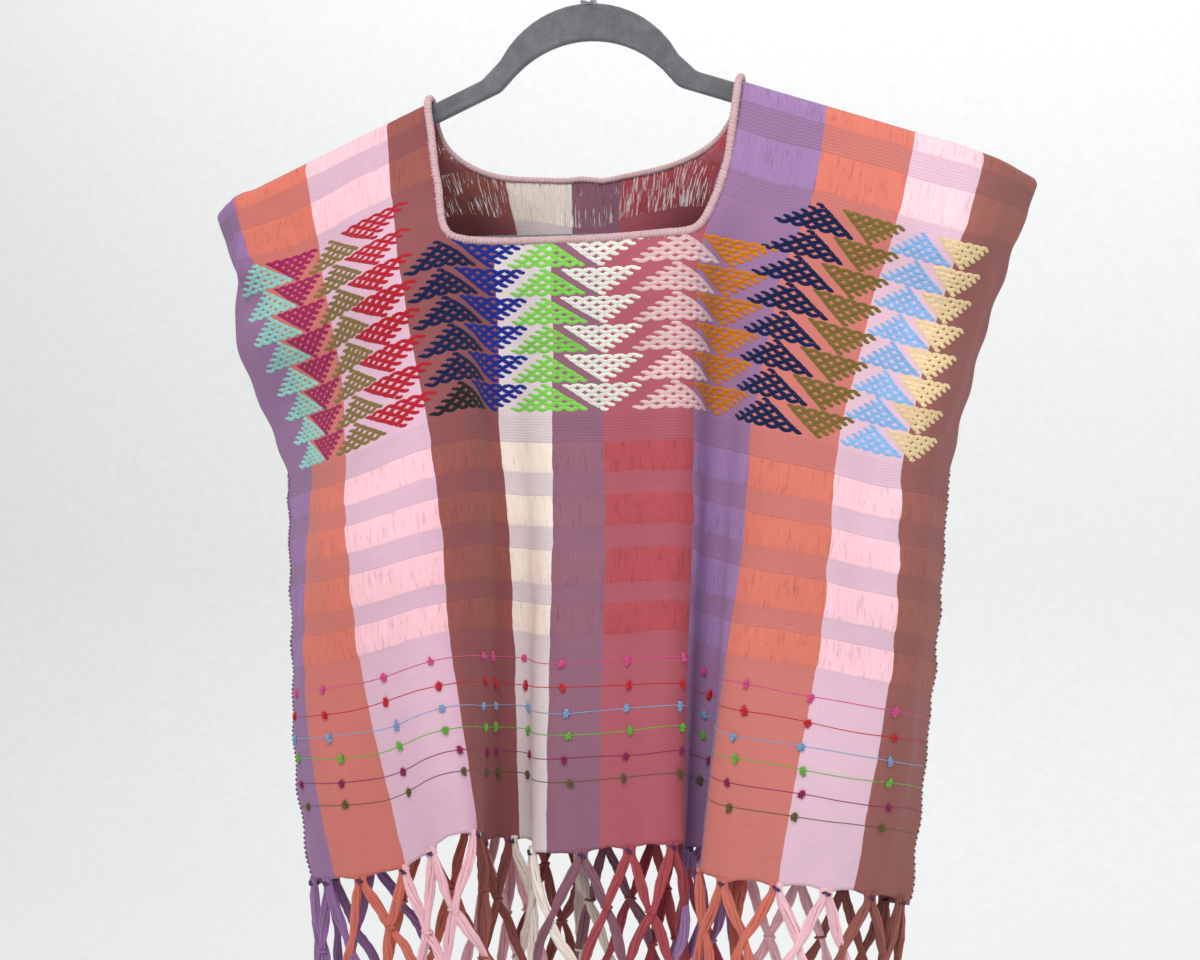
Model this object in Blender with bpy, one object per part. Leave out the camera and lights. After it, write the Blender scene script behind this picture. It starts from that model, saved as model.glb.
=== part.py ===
"""Huipil blouse on a flocked hanger.

One wide web, woven with long warp stripes, is folded at the shoulders over the
arms of a hanger.  A rectangular neck hole with a round bound edge is cut in its
middle, the selvedges are joined below the armholes, and the warp ends are
knotted into a net fringe along both hems.  Units are metres, +Z is up, the
wearer's front faces -Y, and the origin is the underside of the hook's crown,
where a rail carries it.
"""
import bpy
import bmesh
import math
import numpy as np
from mathutils.geometry import delaunay_2d_cdt
from mathutils import Vector

for ob in list(bpy.data.objects):
    bpy.data.objects.remove(ob, do_unlink=True)

CM = 0.01
GAP = 0.0003                  # clearance between neighbouring pieces

# ----------------------------------------------------------------- the hanger
CREST_TOP = -0.0800           # top of the crest below the hook's underside
CREST_OUTER_R = 0.0605        # outer arc of the crest
CREST_BAND = 0.0217           # height of the crest band at its top
CREST_INNER_R = 0.0620
NECK_X = 0.0590               # where the crest runs out into the arms
NECK_DROP = 0.0400            # that place, below the crest's top
ARM_SLOPE_LEFT = 0.435        # the hanger hangs a little low on its left
ARM_SLOPE_RIGHT = 0.325
ARM_BAND = 0.0122             # height of an arm
HANGER_HALF = 0.2080          # middle to the end of an arm
HANGER_THICK = 0.0060
BAR_TOP = 0.1330              # trouser bar, below the crest's top
BAR_BOTTOM = 0.1425
EDGE_ROUND = 0.0014

# ------------------------------------------------------------------- the hook
HOOK_WIRE_R = 0.0018
HOOK_BEND_R = 0.0225          # wire centre line
HOOK_TAIL_DEG = 205.0         # how far the wire runs round from the shank side
HOOK_COLLAR_R = 0.0052
HOOK_COLLAR_H = 0.0030

# -------------------------------------------------------------------- the web
CLOTH = 0.0015                # wall
WEB_LENGTH = 43.9             # shoulder fold to hem, cm
ARMHOLE = 18.6                # shoulder fold to the top of the side join, cm
NECK_FRONT = 8.35             # drop of the neck hole in front, cm
NECK_BACK = 4.65
SQUARE_FRONT = 15.0           # squareness of the neck hole's corners
SQUARE_BACK = 3.8
SHOULDER_R = 0.0052           # radius of the web's fold over an arm
BIND_R = 0.0024               # round bound edge of the neck
JOIN_R = 0.0014               # whipped side join
FRINGE_REACH = 11.6           # cm below the hem
FRINGE_THICK = 0.0050

# Warp stripes from the wearer's right selvedge (left in a front view) to the
# other one.  The two wide stripes that carry the vertical folds count as two.
STRIPES = (
    ("purple_l", 5.10), ("orange_l", 5.10), ("pink_l", 5.66),
    ("brown_l_out", 3.10), ("brown_l_in", 2.92), ("cream", 3.58),
    ("mauve", 2.99), ("rose", 5.58), ("purple_r_in", 2.45),
    ("purple_r_out", 2.92), ("orange_r", 5.66), ("pink_r", 4.20),
    ("brown_r", 5.47),
)
STRIPE_CM = np.array([w for _, w in STRIPES])
EDGES = np.concatenate([[0.0], np.cumsum(STRIPE_CM)])
WEB_WIDTH = EDGES[-1]
NECK_L, NECK_R = EDGES[4], EDGES[8]      # sides of the neck hole

# Plan direction of each stripe in degrees, one row for each level below the
# shoulder: 0 lies along the hanger, + turns its far end to the back.
# level   pu_l or_l pk_l br_o br_i crm  mve  ros  pu_i pu_o or_r pk_r br_r
FRONT_TURN = (
    ( 0.0, -60,  -8,   0,   0,   0,   0,   0,   0,   0,   0, -10,  -6,  66),
    ( 5.0, -55, -22, -18,  20,  22, -10, -10,  -2,  20,  -2, -14, -28,  73),
    ( 9.0, -45, -26, -29,  36,  54, -24, -12,  -8,  50,  -8,   2, -32,  76),
    (14.0, -44, -42, -30,  34,  74, -28,  -6, -14,  76, -32,  -3, -36,  79),
    (18.0, -52, -51, -14,  40,  92, -30,   4, -16,  84, -50,  -4, -34,  79),
    (25.0, -61, -46,   6,  58,  90, -52,  14, -14,  96, -60, -10, -26,  82),
    (31.0, -66, -33,  -6,  66,  88, -66,  20, -14, 100, -82,   4, -18,  82),
    (38.0, -64, -14, -24,  92,  82, -76,  24, -14, 110, -92,  -8,  -2,  74),
    (44.0, -60,  -8, -34, 114,  72, -80,  26, -18, 120, -96, -16,   8,  68),
)
# Rise of each stripe along the same way, in per cent of its width.
FRONT_TILT = (
    ( 0.0,   7,  26,  42,  42,  20,   0,   0,   0, -33, -33, -32, -33, -20),
    ( 5.0,   7,  18,  41,  42,   4,  -2,  -1,   4, -34, -20, -30, -31,  -5),
    ( 9.0,   9,  19,  41,  32,  -3,  -4,  -2,   6, -12, -22, -28, -30,  -6),
    (14.0,  11,  14,  41,  29,  -6,  -2,  -1,   4,  -6, -22, -26, -27,  -7),
    (18.0,   9,  10,  39,  27,  -9,  -2,   0,   4, -11, -18, -22, -23,  -9),
    (25.0,   7,   8,  32,  14, -12,  -4,   2,   8, -26, -13, -14, -19, -14),
    (31.0,   8,  15,  32,   2, -12,  -3,   1,  12, -40,  -3, -13, -17, -17),
    (38.0,  10,  10,  42, -15,  -8,  -4,   3,  14, -24, -26, -10, -12, -17),
    (44.0,  13,  18,  60, -40,   1, -22,  10,  13, -18, -40,   2,  -9, -22),
)
# Course of the two warp lines that pass the neck corners, cm: x, y and depth
# below the hook on the left one, then on the right one.
NECK_LINES = (
    ( 0.0, -9.7, -0.5, 13.2,  9.0, -0.5, 13.0),
    ( 5.0, -8.8, -1.4, 18.4,  8.2, -1.4, 18.3),
    ( 9.0, -7.9, -2.8, 22.4,  6.95, -2.3, 22.3),
    (14.0, -7.05, -2.8, 27.2,  6.65, -2.0, 27.3),
    (18.0, -6.3, -3.1, 31.2,  6.5, -1.8, 31.3),
    (25.0, -5.6, -3.5, 37.9,  6.6, -1.8, 38.1),
    (31.0, -5.4, -3.4, 43.8,  6.5, -1.8, 44.0),
    (38.0, -5.3, -3.4, 50.6,  6.3, -1.8, 50.5),
    (44.0, -5.5, -2.8, 56.4,  6.0, -1.4, 56.4),
)
# The hidden back hangs in softer folds of its own between the same selvedges.
BACK_TURN = (
    ( 0.0, -56,  -8,   1,   1,   0,   0,   0,   1,   0,   0,  -2,  -4,  64),
    ( 5.0, -52, -18,  13,  10,  10,  12,  -2, -12,   2, -13, -14,  -7,  38),
    ( 9.0, -40, -20,  36,  28, -14, -18,   0,  18,  16, -30, -34,  -8,  32),
    (18.0, -34,  -8,  66,  44, -55, -66,   0,  66,  33, -59, -62, -12,  32),
    (31.0, -24,   2,  76,  52, -64, -76,   5,  76,  31, -71, -69,   0,  32),
    (44.0, -22,   7,  80,  62, -62, -84,  -7,  82,  42, -72, -79,   2,  36),
)
# How far the back sags between the sides of the neck hole, cm.
BACK_SAG = ((0.0, 0.0), (2.0, 0.35), (4.5, 1.15), (7.0, 1.25), (12.0, 0.6),
            (20.0, 0.1), (31.0, 0.0), (44.0, 0.0))
# How far the back's hem is lifted where the front's own hem rises, cm.
BACK_LIFT = ((0.0, 0.0), (25.0, 0.0), (31.0, 0.4), (38.0, 1.2), (44.0, 2.2))
# Share of its flat width that the web takes up across, by level: the gauze
# over the arms is drawn together a little.
GATHER = ((0.0, 0.960), (5.0, 0.960), (9.0, 0.985), (14.0, 1.0), (18.0, 0.990),
          (25.0, 1.0), (44.0, 1.0))
# Distance from front selvedge to back selvedge, cm, by level.
ARMHOLE_OPEN = ((0.0, 0.9), (5.0, 1.8), (11.0, 2.4), (16.0, 1.5), (18.6, 0.34),
                (25.0, 0.34), (44.0, 0.34))
# How far the back's middle stands behind its selvedges' own line, cm.
BACK_SWELL = ((0.0, 0.0), (5.0, 0.3), (10.0, 0.8), (18.0, 0.4), (31.0, 1.0),
              (44.0, 1.8))

STEP = 0.1                                # cm, step along a level line
NSTEP = int(round(WEB_WIDTH / STEP))
LINE_U = np.linspace(0.0, WEB_WIDTH, NSTEP + 1)


def rows_at(table, levels):
    """Smooth course of a table's columns between its rows."""
    t = np.array(table, float)
    lev, val = t[:, 0], t[:, 1:]
    n = len(lev)
    tan = np.zeros_like(val)
    tan[0] = (val[1] - val[0]) / (lev[1] - lev[0])
    tan[-1] = (val[-1] - val[-2]) / (lev[-1] - lev[-2])
    for i in range(1, n - 1):
        a, b = lev[i] - lev[i - 1], lev[i + 1] - lev[i]
        tan[i] = ((val[i + 1] - val[i]) / b * a
                  + (val[i] - val[i - 1]) / a * b) / (a + b)
    levels = np.asarray(levels, float)
    i = np.clip(np.searchsorted(lev, levels) - 1, 0, n - 2)
    h = (lev[i + 1] - lev[i])[:, None]
    s = np.minimum((levels - lev[i])[:, None] / h, 1.0)
    out = ((2 * s**3 - 3 * s**2 + 1) * val[i] + (3 * s**2 - 2 * s**3) * val[i + 1]
           + (s**3 - 2 * s**2 + s) * h * tan[i] + (s**3 - s**2) * h * tan[i + 1])
    past = np.maximum(levels - lev[-1], 0.0)[:, None]
    return out + past * tan[-1]


def across(cols):
    """Stripe values along a level line, eased from one stripe to the next."""
    mid = (EDGES[:-1] + EDGES[1:]) / 2
    u = (LINE_U[:-1] + LINE_U[1:]) / 2
    i = np.clip(np.searchsorted(mid, u), 1, len(mid) - 1)
    s = np.clip((u - mid[i - 1]) / (mid[i] - mid[i - 1]), 0.0, 1.0)
    s = 0.5 * s + 0.5 * s * s * (3 - 2 * s)
    return cols[:, i - 1] * (1 - s) + cols[:, i] * s


def walk(turn, tilt, levels):
    """Level lines as running sums of the stripes' directions, cm."""
    h, t = np.radians(across(turn)), across(tilt) / 100.0
    c = np.sqrt(np.maximum(0.05, 1.0 - t * t))
    ds = (LINE_U[1] - LINE_U[0]) * rows_at(GATHER, levels)[:, :, None]
    d = np.stack([c * np.cos(h), c * np.sin(h), t], -1) * ds
    return np.concatenate([np.zeros((len(turn), 1, 3)), np.cumsum(d, 1)], 1)


def arm_top(x):
    """Height of the hanger arm's upper edge, m, at x in m."""
    slope = np.where(x < 0, ARM_SLOPE_LEFT, ARM_SLOPE_RIGHT)
    return CREST_TOP - NECK_DROP - slope * (np.minimum(np.abs(x), HANGER_HALF) - NECK_X)


FOLD_CM = SHOULDER_R * math.pi / 2 / CM     # web used by half the shoulder fold
IA, IB = int(round(NECK_L / WEB_WIDTH * NSTEP)), int(round(NECK_R / WEB_WIDTH * NSTEP))


def ease(x):
    x = np.clip(x, 0.0, 1.0)
    return x * x * (3 - 2 * x)


def front_lines(levels):
    """Front level lines in metres below the shoulder fold: (levels, u, 3)."""
    C = walk(rows_at(FRONT_TURN, levels), rows_at(FRONT_TILT, levels), levels)
    A = rows_at(NECK_LINES, levels)
    L = A[:, None, 0:3] * np.array([1, 1, -1.0])
    R = A[:, None, 3:6] * np.array([1, 1, -1.0])
    P = np.empty_like(C)
    P[:, :IA + 1] = L + C[:, :IA + 1] - C[:, IA:IA + 1]
    P[:, IB:] = R + C[:, IB:] - C[:, IB:IB + 1]
    s = ((LINE_U[IA:IB + 1] - LINE_U[IA]) / (LINE_U[IB] - LINE_U[IA]))[None, :, None]
    P[:, IA:IB + 1] = L + C[:, IA:IB + 1] - C[:, IA:IA + 1] + s * (
        R - L - (C[:, IB:IB + 1] - C[:, IA:IA + 1]))
    return P * CM


def settle(P, levels):
    """Lay the top of the front on the hanger's arms and against their face."""
    top = front_lines([FOLD_CM])
    n = behind(top)[0]
    top = top[0]
    want_z = arm_top(top[:, 0]) + 3 * GAP + CLOTH / 2 - SHOULDER_R
    on_arm = np.abs(top[:, 0]) <= HANGER_HALF - 0.002
    dz = want_z - top[:, 2]
    dy = -SHOULDER_R * n[:, 1] - top[:, 1]
    k = np.nonzero(on_arm)[0]
    dz[:k[0]], dz[k[-1] + 1:] = dz[k[0]], dz[k[-1]]
    dy[:k[0]], dy[k[-1] + 1:] = dy[k[0]], dy[k[-1]]
    box = np.ones(13) / 13
    dz = np.convolve(np.pad(dz, 6, mode="edge"), box, "valid")
    dy = np.convolve(np.pad(dy, 6, mode="edge"), box, "valid")
    w = 1.0 - ease((np.asarray(levels) - FOLD_CM) / 5.0)
    P = P.copy()
    P[..., 1] += w[:, None] * dy
    P[..., 2] += w[:, None] * dz
    return clear_hanger(P, -1.0)


def clear_hanger(P, side):
    """Keep a layer on its own side of the hanger's ends, arms and bar."""
    P = P.copy()
    low = CREST_TOP - BAR_BOTTOM
    past, fade = (0.020, 0.016) if side < 0 else (0.013, 0.010)
    w = (ease((HANGER_HALF + past - np.abs(P[..., 0])) / fade)
         * ease((P[..., 2] - (low - 0.030)) / 0.024))
    e = 0.0006
    short = SHOULDER_R - e - side * P[..., 1]
    soft = np.where(short > e, short, np.maximum(short + e, 0.0) ** 2 / (4 * e))
    near = ease((arm_top(P[..., 0]) - P[..., 2] + 0.004) / 0.004)
    P[..., 1] += side * w * near * soft
    return P


def behind(P):
    """Level unit directions that point to the back of each level line."""
    t = np.gradient(P[..., :2], axis=1)
    t /= np.linalg.norm(t, axis=-1, keepdims=True)
    return np.stack([-t[..., 1], t[..., 0], np.zeros(t.shape[:2])], -1)


def front_hang(levels):
    return settle(front_lines(levels), levels)


def back_hang(levels):
    levels = np.asarray(levels, float)
    F = front_hang(levels)
    n = behind(F)
    g = np.maximum(rows_at(ARMHOLE_OPEN, levels)[:, 0], 0.34) * CM
    joined = ease((levels - 11.0) / 7.6)[:, None]
    straight = np.array([0, 1.0, 0])

    def part(edge):
        d = edge * (0.25 + 0.75 * joined) + straight * (1 - joined)
        return g[:, None] * d / np.linalg.norm(d, axis=1, keepdims=True)
    EL = F[:, 0] + part(n[:, 3])
    ER = F[:, -1] + part(n[:, -4])
    turn, tilt = rows_at(BACK_TURN, levels), rows_at(FRONT_TILT, levels)
    out = walk(turn, tilt, levels) * CM
    short = ER - EL - out[:, -1]
    P = EL[:, None] + out + (LINE_U / WEB_WIDTH)[None, :, None] * short[:, None]
    swell = rows_at(BACK_SWELL, levels)[:, 0] * CM
    side = ease(np.minimum(LINE_U, WEB_WIDTH - LINE_U) / 8.0)
    P[..., 1] += swell[:, None] * side[None]
    between = np.clip((LINE_U - NECK_L + 1.0) / (NECK_R - NECK_L + 2.0), 0.0, 1.0)
    lift = np.exp(-((LINE_U - 9.5) / 5.5) ** 2) * ease(LINE_U / 3.0)
    P[..., 2] += rows_at(BACK_LIFT, levels) * CM * lift[None]
    dip = np.maximum(np.sin(math.pi * between ** 0.85), 0.0) ** 1.5
    dip += 0.6 * np.exp(-((LINE_U - (NECK_L + NECK_R) / 2) / 2.2) ** 2)
    P[..., 2] -= rows_at(BACK_SAG, levels) * CM * dip[None]
    # at the shoulder the back starts from the same fold as the front
    if levels[0] > FOLD_CM:
        return clear_hanger(P, 1.0)
    top = front_hang([FOLD_CM])
    start = top + 2 * SHOULDER_R * behind(top)
    w = (1.0 - ease((levels - FOLD_CM) / 8.0))[:, None, None]
    first = P[:1]
    return clear_hanger(P + w * (start - first), 1.0)


def shell(side, levels):
    """Mid surface of one half of the web, over the shoulder fold and down."""
    levels = np.asarray(levels, float)
    hang = front_hang if side == "front" else back_hang
    P = hang(np.maximum(levels, FOLD_CM))
    top = front_hang([FOLD_CM])
    n = behind(top)
    th = np.minimum(levels, FOLD_CM) / FOLD_CM * math.pi / 2
    centre = top + SHOULDER_R * n
    sgn = -1.0 if side == "front" else 1.0
    arc = (centre + SHOULDER_R * (sgn * np.sin(th)[:, None, None] * n
                                  + np.cos(th)[:, None, None] * np.array([0, 0, 1.0])))
    up = (levels < FOLD_CM)[:, None, None]
    return np.where(up, arc, P)


class Half:
    """One half of the web as a surface P(u, v), with its outward normals."""

    def __init__(self, side):
        self.side = side
        self.v = np.unique(np.concatenate([
            np.linspace(0.0, FOLD_CM, 9), np.arange(1.0, 46.01, 0.5)]))
        self.P = shell(side, self.v)
        du = np.gradient(self.P, axis=1)
        dv = np.gradient(self.P, self.v, axis=0)
        n = np.cross(du, dv)
        n /= np.linalg.norm(n, axis=-1, keepdims=True)
        self.N = n if side == "front" else -n
        # outward means away from the other half: the front's is -Y
        if self.side == "front" and self.N[40, NSTEP // 2, 1] > 0:
            self.N = -self.N
        if self.side == "back" and self.N[40, NSTEP // 2, 1] < 0:
            self.N = -self.N

    def at(self, u, v, off=0.0):
        u, v = np.asarray(u, float), np.asarray(v, float)
        fu = np.clip(u / WEB_WIDTH * NSTEP, 0, NSTEP - 1e-6)
        i = fu.astype(int)
        a = (fu - i)[..., None]
        j = np.clip(np.searchsorted(self.v, v, side="right") - 1, 0, len(self.v) - 2)
        b = np.clip((v - self.v[j]) / (self.v[j + 1] - self.v[j]), 0, 1)[..., None]
        out = []
        for F in (self.P, self.N):
            out.append((F[j, i] * (1 - a) + F[j, i + 1] * a) * (1 - b)
                       + (F[j + 1, i] * (1 - a) + F[j + 1, i + 1] * a) * b)
        n = out[1] / np.linalg.norm(out[1], axis=-1, keepdims=True)
        return out[0] + n * off, n


FRONT, BACK = Half("front"), Half("back")


# --------------------------------------------------------------- mesh helpers
def material(name, colour, rough, metal=0.0):
    m = bpy.data.materials.new(name)
    m.use_nodes = True
    b = m.node_tree.nodes["Principled BSDF"]
    b.inputs["Base Color"].default_value = (*colour, 1.0)
    b.inputs["Roughness"].default_value = rough
    b.inputs["Metallic"].default_value = metal
    m.diffuse_color = (*colour, 1.0)
    return m


def add(name, verts, faces, mat, smooth=True):
    me = bpy.data.meshes.new(name)
    me.from_pydata([tuple(map(float, p)) for p in verts], [], [tuple(f) for f in faces])
    me.validate()
    bm = bmesh.new()
    bm.from_mesh(me)
    bmesh.ops.remove_doubles(bm, verts=bm.verts, dist=1e-6)
    bmesh.ops.recalc_face_normals(bm, faces=bm.faces)
    bmesh.ops.triangulate(bm, faces=bm.faces)
    if bm.calc_volume(signed=True) < 0:
        bmesh.ops.reverse_faces(bm, faces=bm.faces)
    bm.to_mesh(me)
    bm.free()
    me.materials.append(mat)
    ob = bpy.data.objects.new(name, me)
    bpy.context.scene.collection.objects.link(ob)
    if smooth:
        me.shade_smooth()
        me.set_sharp_from_angle(angle=math.radians(40))
    return ob


def tube(name, path, radius, sides, mat, closed=False, caps=True):
    """Round rod along a path, carried without twist."""
    path = np.asarray(path, float)
    n = len(path)
    if closed:
        tan = np.roll(path, -1, 0) - np.roll(path, 1, 0)
    else:
        tan = np.gradient(path, axis=0)
    tan /= np.linalg.norm(tan, axis=1, keepdims=True)
    ref = np.array([0, 1.0, 0]) if abs(tan[0][1]) < 0.8 else np.array([1.0, 0, 0])
    rings, frame = [], ref
    for i in range(n):
        frame = frame - tan[i] * frame.dot(tan[i])
        frame /= np.linalg.norm(frame)
        other = np.cross(tan[i], frame)
        a = np.arange(sides) / sides * 2 * math.pi
        r = radius[i] if np.ndim(radius) else radius
        rings.append(path[i] + r * (np.cos(a)[:, None] * frame + np.sin(a)[:, None] * other))
    if closed:                       # undo the twist left when the ring closes
        f2 = frame - tan[0] * frame.dot(tan[0])
        f2 /= np.linalg.norm(f2)
        f0 = rings[0][0] - path[0]
        f0 /= np.linalg.norm(f0)
        ang = math.atan2(np.dot(np.cross(f0, f2), tan[0]), f0.dot(f2))
        for i in range(n):
            a = np.arange(sides) / sides * 2 * math.pi - ang * i / n
            fr = rings[i][0] - path[i]
            fr /= np.linalg.norm(fr)
            ot = np.cross(tan[i], fr)
            rings[i] = path[i] + radius * (np.cos(a)[:, None] * fr + np.sin(a)[:, None] * ot)
    verts = np.concatenate(rings)
    faces = []
    for i in range(n if closed else n - 1):
        j = (i + 1) % n
        for k in range(sides):
            m = (k + 1) % sides
            faces.append((i * sides + k, i * sides + m, j * sides + m, j * sides + k))
    if not closed and caps:
        faces.append(tuple(range(sides)))
        faces.append(tuple((n - 1) * sides + k for k in range(sides)))
    return add(name, verts, faces, mat)


def slab(name, uv, tris, lower, upper, mat):
    """Closed wall between two copies of a flat mesh, joined round its rim."""
    nv = len(uv)
    faces = [tuple(t) for t in tris] + [tuple(reversed([i + nv for i in t])) for t in tris]
    count = {}
    for t in tris:
        for a, b in ((t[0], t[1]), (t[1], t[2]), (t[2], t[0])):
            key = (min(a, b), max(a, b))
            count.setdefault(key, []).append((a, b))
    for e in count.values():
        if len(e) == 1:
            a, b = e[0]
            faces.append((b, a, a + nv, b + nv))
    return add(name, np.concatenate([lower, upper]), faces, mat)


# --------------------------------------------------------------------- panels
HEM_POINTS = 38


SHOULDER_ROWS = (0.0, FOLD_CM / 3, FOLD_CM * 2 / 3, FOLD_CM, 2.0, 3.3)


def neck_stations(drop, k):
    """Half of the neck hole's edge in the web's own plane, left to right,
    with the direction that points away from the hole."""
    uc, half = (NECK_L + NECK_R) / 2, (NECK_R - NECK_L) / 2

    def side_u(v):
        return half * (1.0 - (v / drop) ** k) ** (1.0 / k)
    v0 = np.array(SHOULDER_ROWS)
    a = np.linspace(0.0, math.pi, 400)
    x = half * np.sign(np.cos(a)) * np.abs(np.cos(a)) ** (2.0 / k)
    y = drop * np.abs(np.sin(a)) ** (2.0 / k)
    low = y > v0[-1] - 1e-9
    x, y = -x[low], y[low]
    d = np.concatenate([[0], np.cumsum(np.hypot(np.diff(x), np.diff(y)))])
    t = np.linspace(0, d[-1], 22)
    xm, ym = np.interp(t, d, x)[1:-1], np.interp(t, d, y)[1:-1]
    u = np.concatenate([-side_u(v0), xm, side_u(v0[::-1])])
    v = np.concatenate([v0, ym, v0[::-1]])
    g = np.stack([np.sign(u) * (np.abs(u) / half) ** (k - 1) / half,
                  (v / drop) ** (k - 1) / drop], -1)
    g /= np.linalg.norm(g, axis=1, keepdims=True)
    return u + uc, v, g


def panel_mesh(drop, k, seam=GAP / CM):
    """Triangles of one half of the web, in (u, v), around the neck hole."""
    rim = (BIND_R + 3.2 * GAP) / CM
    cu, cv, g = neck_stations(drop, k)
    cu, cv = cu + rim * g[:, 0], np.maximum(cv + rim * g[:, 1], seam)
    us = np.linspace(0, WEB_WIDTH, HEM_POINTS)
    vs = np.concatenate([[seam], SHOULDER_ROWS[1:], [5.0],
                         np.linspace(6.9, WEB_LENGTH, 18)])
    left = [u for u in us if u < cu[0] - 0.4]
    right = [u for u in us if u > cu[-1] + 0.4]
    loop = ([(u, seam) for u in left] + list(zip(cu, cv)) + [(u, seam) for u in right]
            + [(WEB_WIDTH, v) for v in vs[1:]]
            + [(u, WEB_LENGTH) for u in us[::-1][1:]]
            + [(0.0, v) for v in vs[::-1][1:-1]])
    pts = [Vector(p) for p in loop]
    edges = [(i, (i + 1) % len(loop)) for i in range(len(loop))]

    def inside_hole(u, v, pad):
        uc, half = (NECK_L + NECK_R) / 2, (NECK_R - NECK_L) / 2 + rim + pad
        return (abs(u - uc) / half) ** k + (v / (drop + rim + pad)) ** k < 1

    for v in vs[1:-1]:
        for u in us[1:-1]:
            if not inside_hole(u, v, 0.55):
                pts.append(Vector((u, v)))
    n = len(loop)
    out = delaunay_2d_cdt(pts, edges, [list(range(n))], 1, 1e-5)
    verts, tris = out[0], []
    for f in out[2]:
        c = sum((verts[i] for i in f), Vector((0, 0))) / len(f)
        tris.append(tuple(f))
    return np.array([tuple(v) for v in verts]), tris


def grade(ob):
    return len(ob.data.polygons)


MAT = {
    "web": material("web", (0.72, 0.40, 0.42), 0.85),
    "binding": material("binding", (0.84, 0.70, 0.72), 0.8),
    "join": material("join", (0.60, 0.45, 0.42), 0.8),
    "fringe": material("fringe", (0.76, 0.45, 0.48), 0.85),
    "flock": material("flock", (0.14, 0.14, 0.16), 0.9),
    "steel": material("steel", (0.70, 0.70, 0.72), 0.25, 1.0),
}

for name, half, drop, square in (("web_front", FRONT, NECK_FRONT, SQUARE_FRONT),
                                 ("web_back", BACK, NECK_BACK, SQUARE_BACK)):
    uv, tris = panel_mesh(drop, square)
    inner, _ = half.at(uv[:, 0], uv[:, 1], -CLOTH / 2)
    outer, _ = half.at(uv[:, 0], uv[:, 1], CLOTH / 2)
    slab(name, uv, tris, inner, outer, MAT["web"])

# Bound edge: one ring round the neck hole, over both shoulders.
ring = []
for half, drop, square, turn_back in ((FRONT, NECK_FRONT, SQUARE_FRONT, False),
                                      (BACK, NECK_BACK, SQUARE_BACK, True)):
    u, v, _ = neck_stations(drop, square)
    if turn_back:
        u, v = u[::-1], v[::-1]
    p, n = half.at(u, v)
    lift = 0.0023 * (1 - ease((v - 0.8) / 4.0))
    p = p + n * lift[:, None]
    ring.append(p[:-1])
ring = np.concatenate(ring)
tube("neck_binding", ring, BIND_R, 8, MAT["binding"], closed=True)

# Whipped joins close the sides between armhole and hem.
for name, edge, out_sign in (("side_join_left", 0.0, -1.0), ("side_join_right", WEB_WIDTH, 1.0)):
    v = np.linspace(ARMHOLE, WEB_LENGTH - 0.1, 17)
    u = np.full_like(v, edge)
    pf, _ = FRONT.at(u, v)
    pb, _ = BACK.at(u, v)
    inner = np.full_like(v, edge + (1.0 if edge == 0 else -1.0))
    pin, _ = FRONT.at(inner, v)
    away = pf - pin
    away /= np.linalg.norm(away, axis=1, keepdims=True)
    mid = (pf + pb) / 2 + away * (JOIN_R + GAP + 0.0004)
    tube(name, mid, JOIN_R, 6, MAT["join"])

# Net fringe: a plain wall of its reach below each hem.
for name, half in (("fringe_front", FRONT), ("fringe_back", BACK)):
    us = np.linspace(0, WEB_WIDTH, HEM_POINTS)[1:-1]
    hem, n = half.at(us, np.full_like(us, WEB_LENGTH))
    above, _ = half.at(us, np.full_like(us, WEB_LENGTH - 3.0))
    n = n * np.array([1, 1, 0.0])
    n /= np.linalg.norm(n, axis=1, keepdims=True)
    lean = (hem - above) / CM / 3.0 * np.array([1, 1, 0.0])
    edge = 1.0 - ease(np.minimum(us, WEB_WIDTH - us) / 4.0)
    rise = np.abs(np.gradient(hem[:, 2]) / (np.diff(us)[0] * CM))
    rows = []
    for k in range(3):
        s = FRINGE_REACH * CM * k / 2
        mid = hem + 0.35 * lean * s - np.array([0, 0, s + 2.2 * GAP])
        mid[:, 2] -= 0.004 * rise
        mid = mid + n * 0.0024 * edge[:, None]
        rows.append((mid - n * FRINGE_THICK / 2, mid + n * FRINGE_THICK / 2))
    nu, nr = len(us), len(rows)
    lower = np.concatenate([r[0] for r in rows])
    upper = np.concatenate([r[1] for r in rows])
    tris = []
    for k in range(nr - 1):
        for i in range(nu - 1):
            a, b = k * nu + i, k * nu + i + 1
            c, d = (k + 1) * nu + i + 1, (k + 1) * nu + i
            tris += [(a, b, c), (a, c, d)]
    slab(name, lower, tris, lower, upper, MAT["fringe"])


# --------------------------------------------------------------------- hanger
def fillet_path(points, radii, seg=5):
    """Polyline with rounded corners, as a closed outline in the XZ plane."""
    out = []
    n = len(points)
    for i in range(n):
        p0, p1, p2 = (np.array(points[(i + k - 1) % n], float) for k in range(3))
        r = radii[i]
        if r <= 0:
            out.append(p1)
            continue
        a, b = p0 - p1, p2 - p1
        la, lb = np.linalg.norm(a), np.linalg.norm(b)
        a, b = a / la, b / lb
        ang = math.acos(np.clip(a.dot(b), -1, 1))
        t = min(r / math.tan(ang / 2), 0.49 * la, 0.49 * lb)
        r = t * math.tan(ang / 2)
        c = p1 + (a + b) / np.linalg.norm(a + b) * r / math.sin(ang / 2)
        s, e = p1 + a * t - c, p1 + b * t - c
        a0 = math.atan2(s[1], s[0])
        a1 = math.atan2(e[1], e[0])
        d = (a1 - a0 + math.pi) % (2 * math.pi) - math.pi
        for k in range(seg + 1):
            q = a0 + d * k / seg
            out.append(c + r * np.array([math.cos(q), math.sin(q)]))
    return np.array(out)


def crest_arc(radius, top, x_end, count):
    x = np.linspace(-x_end, x_end, count)
    return [(a, top - radius + math.sqrt(radius**2 - a * a)) for a in x]


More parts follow.
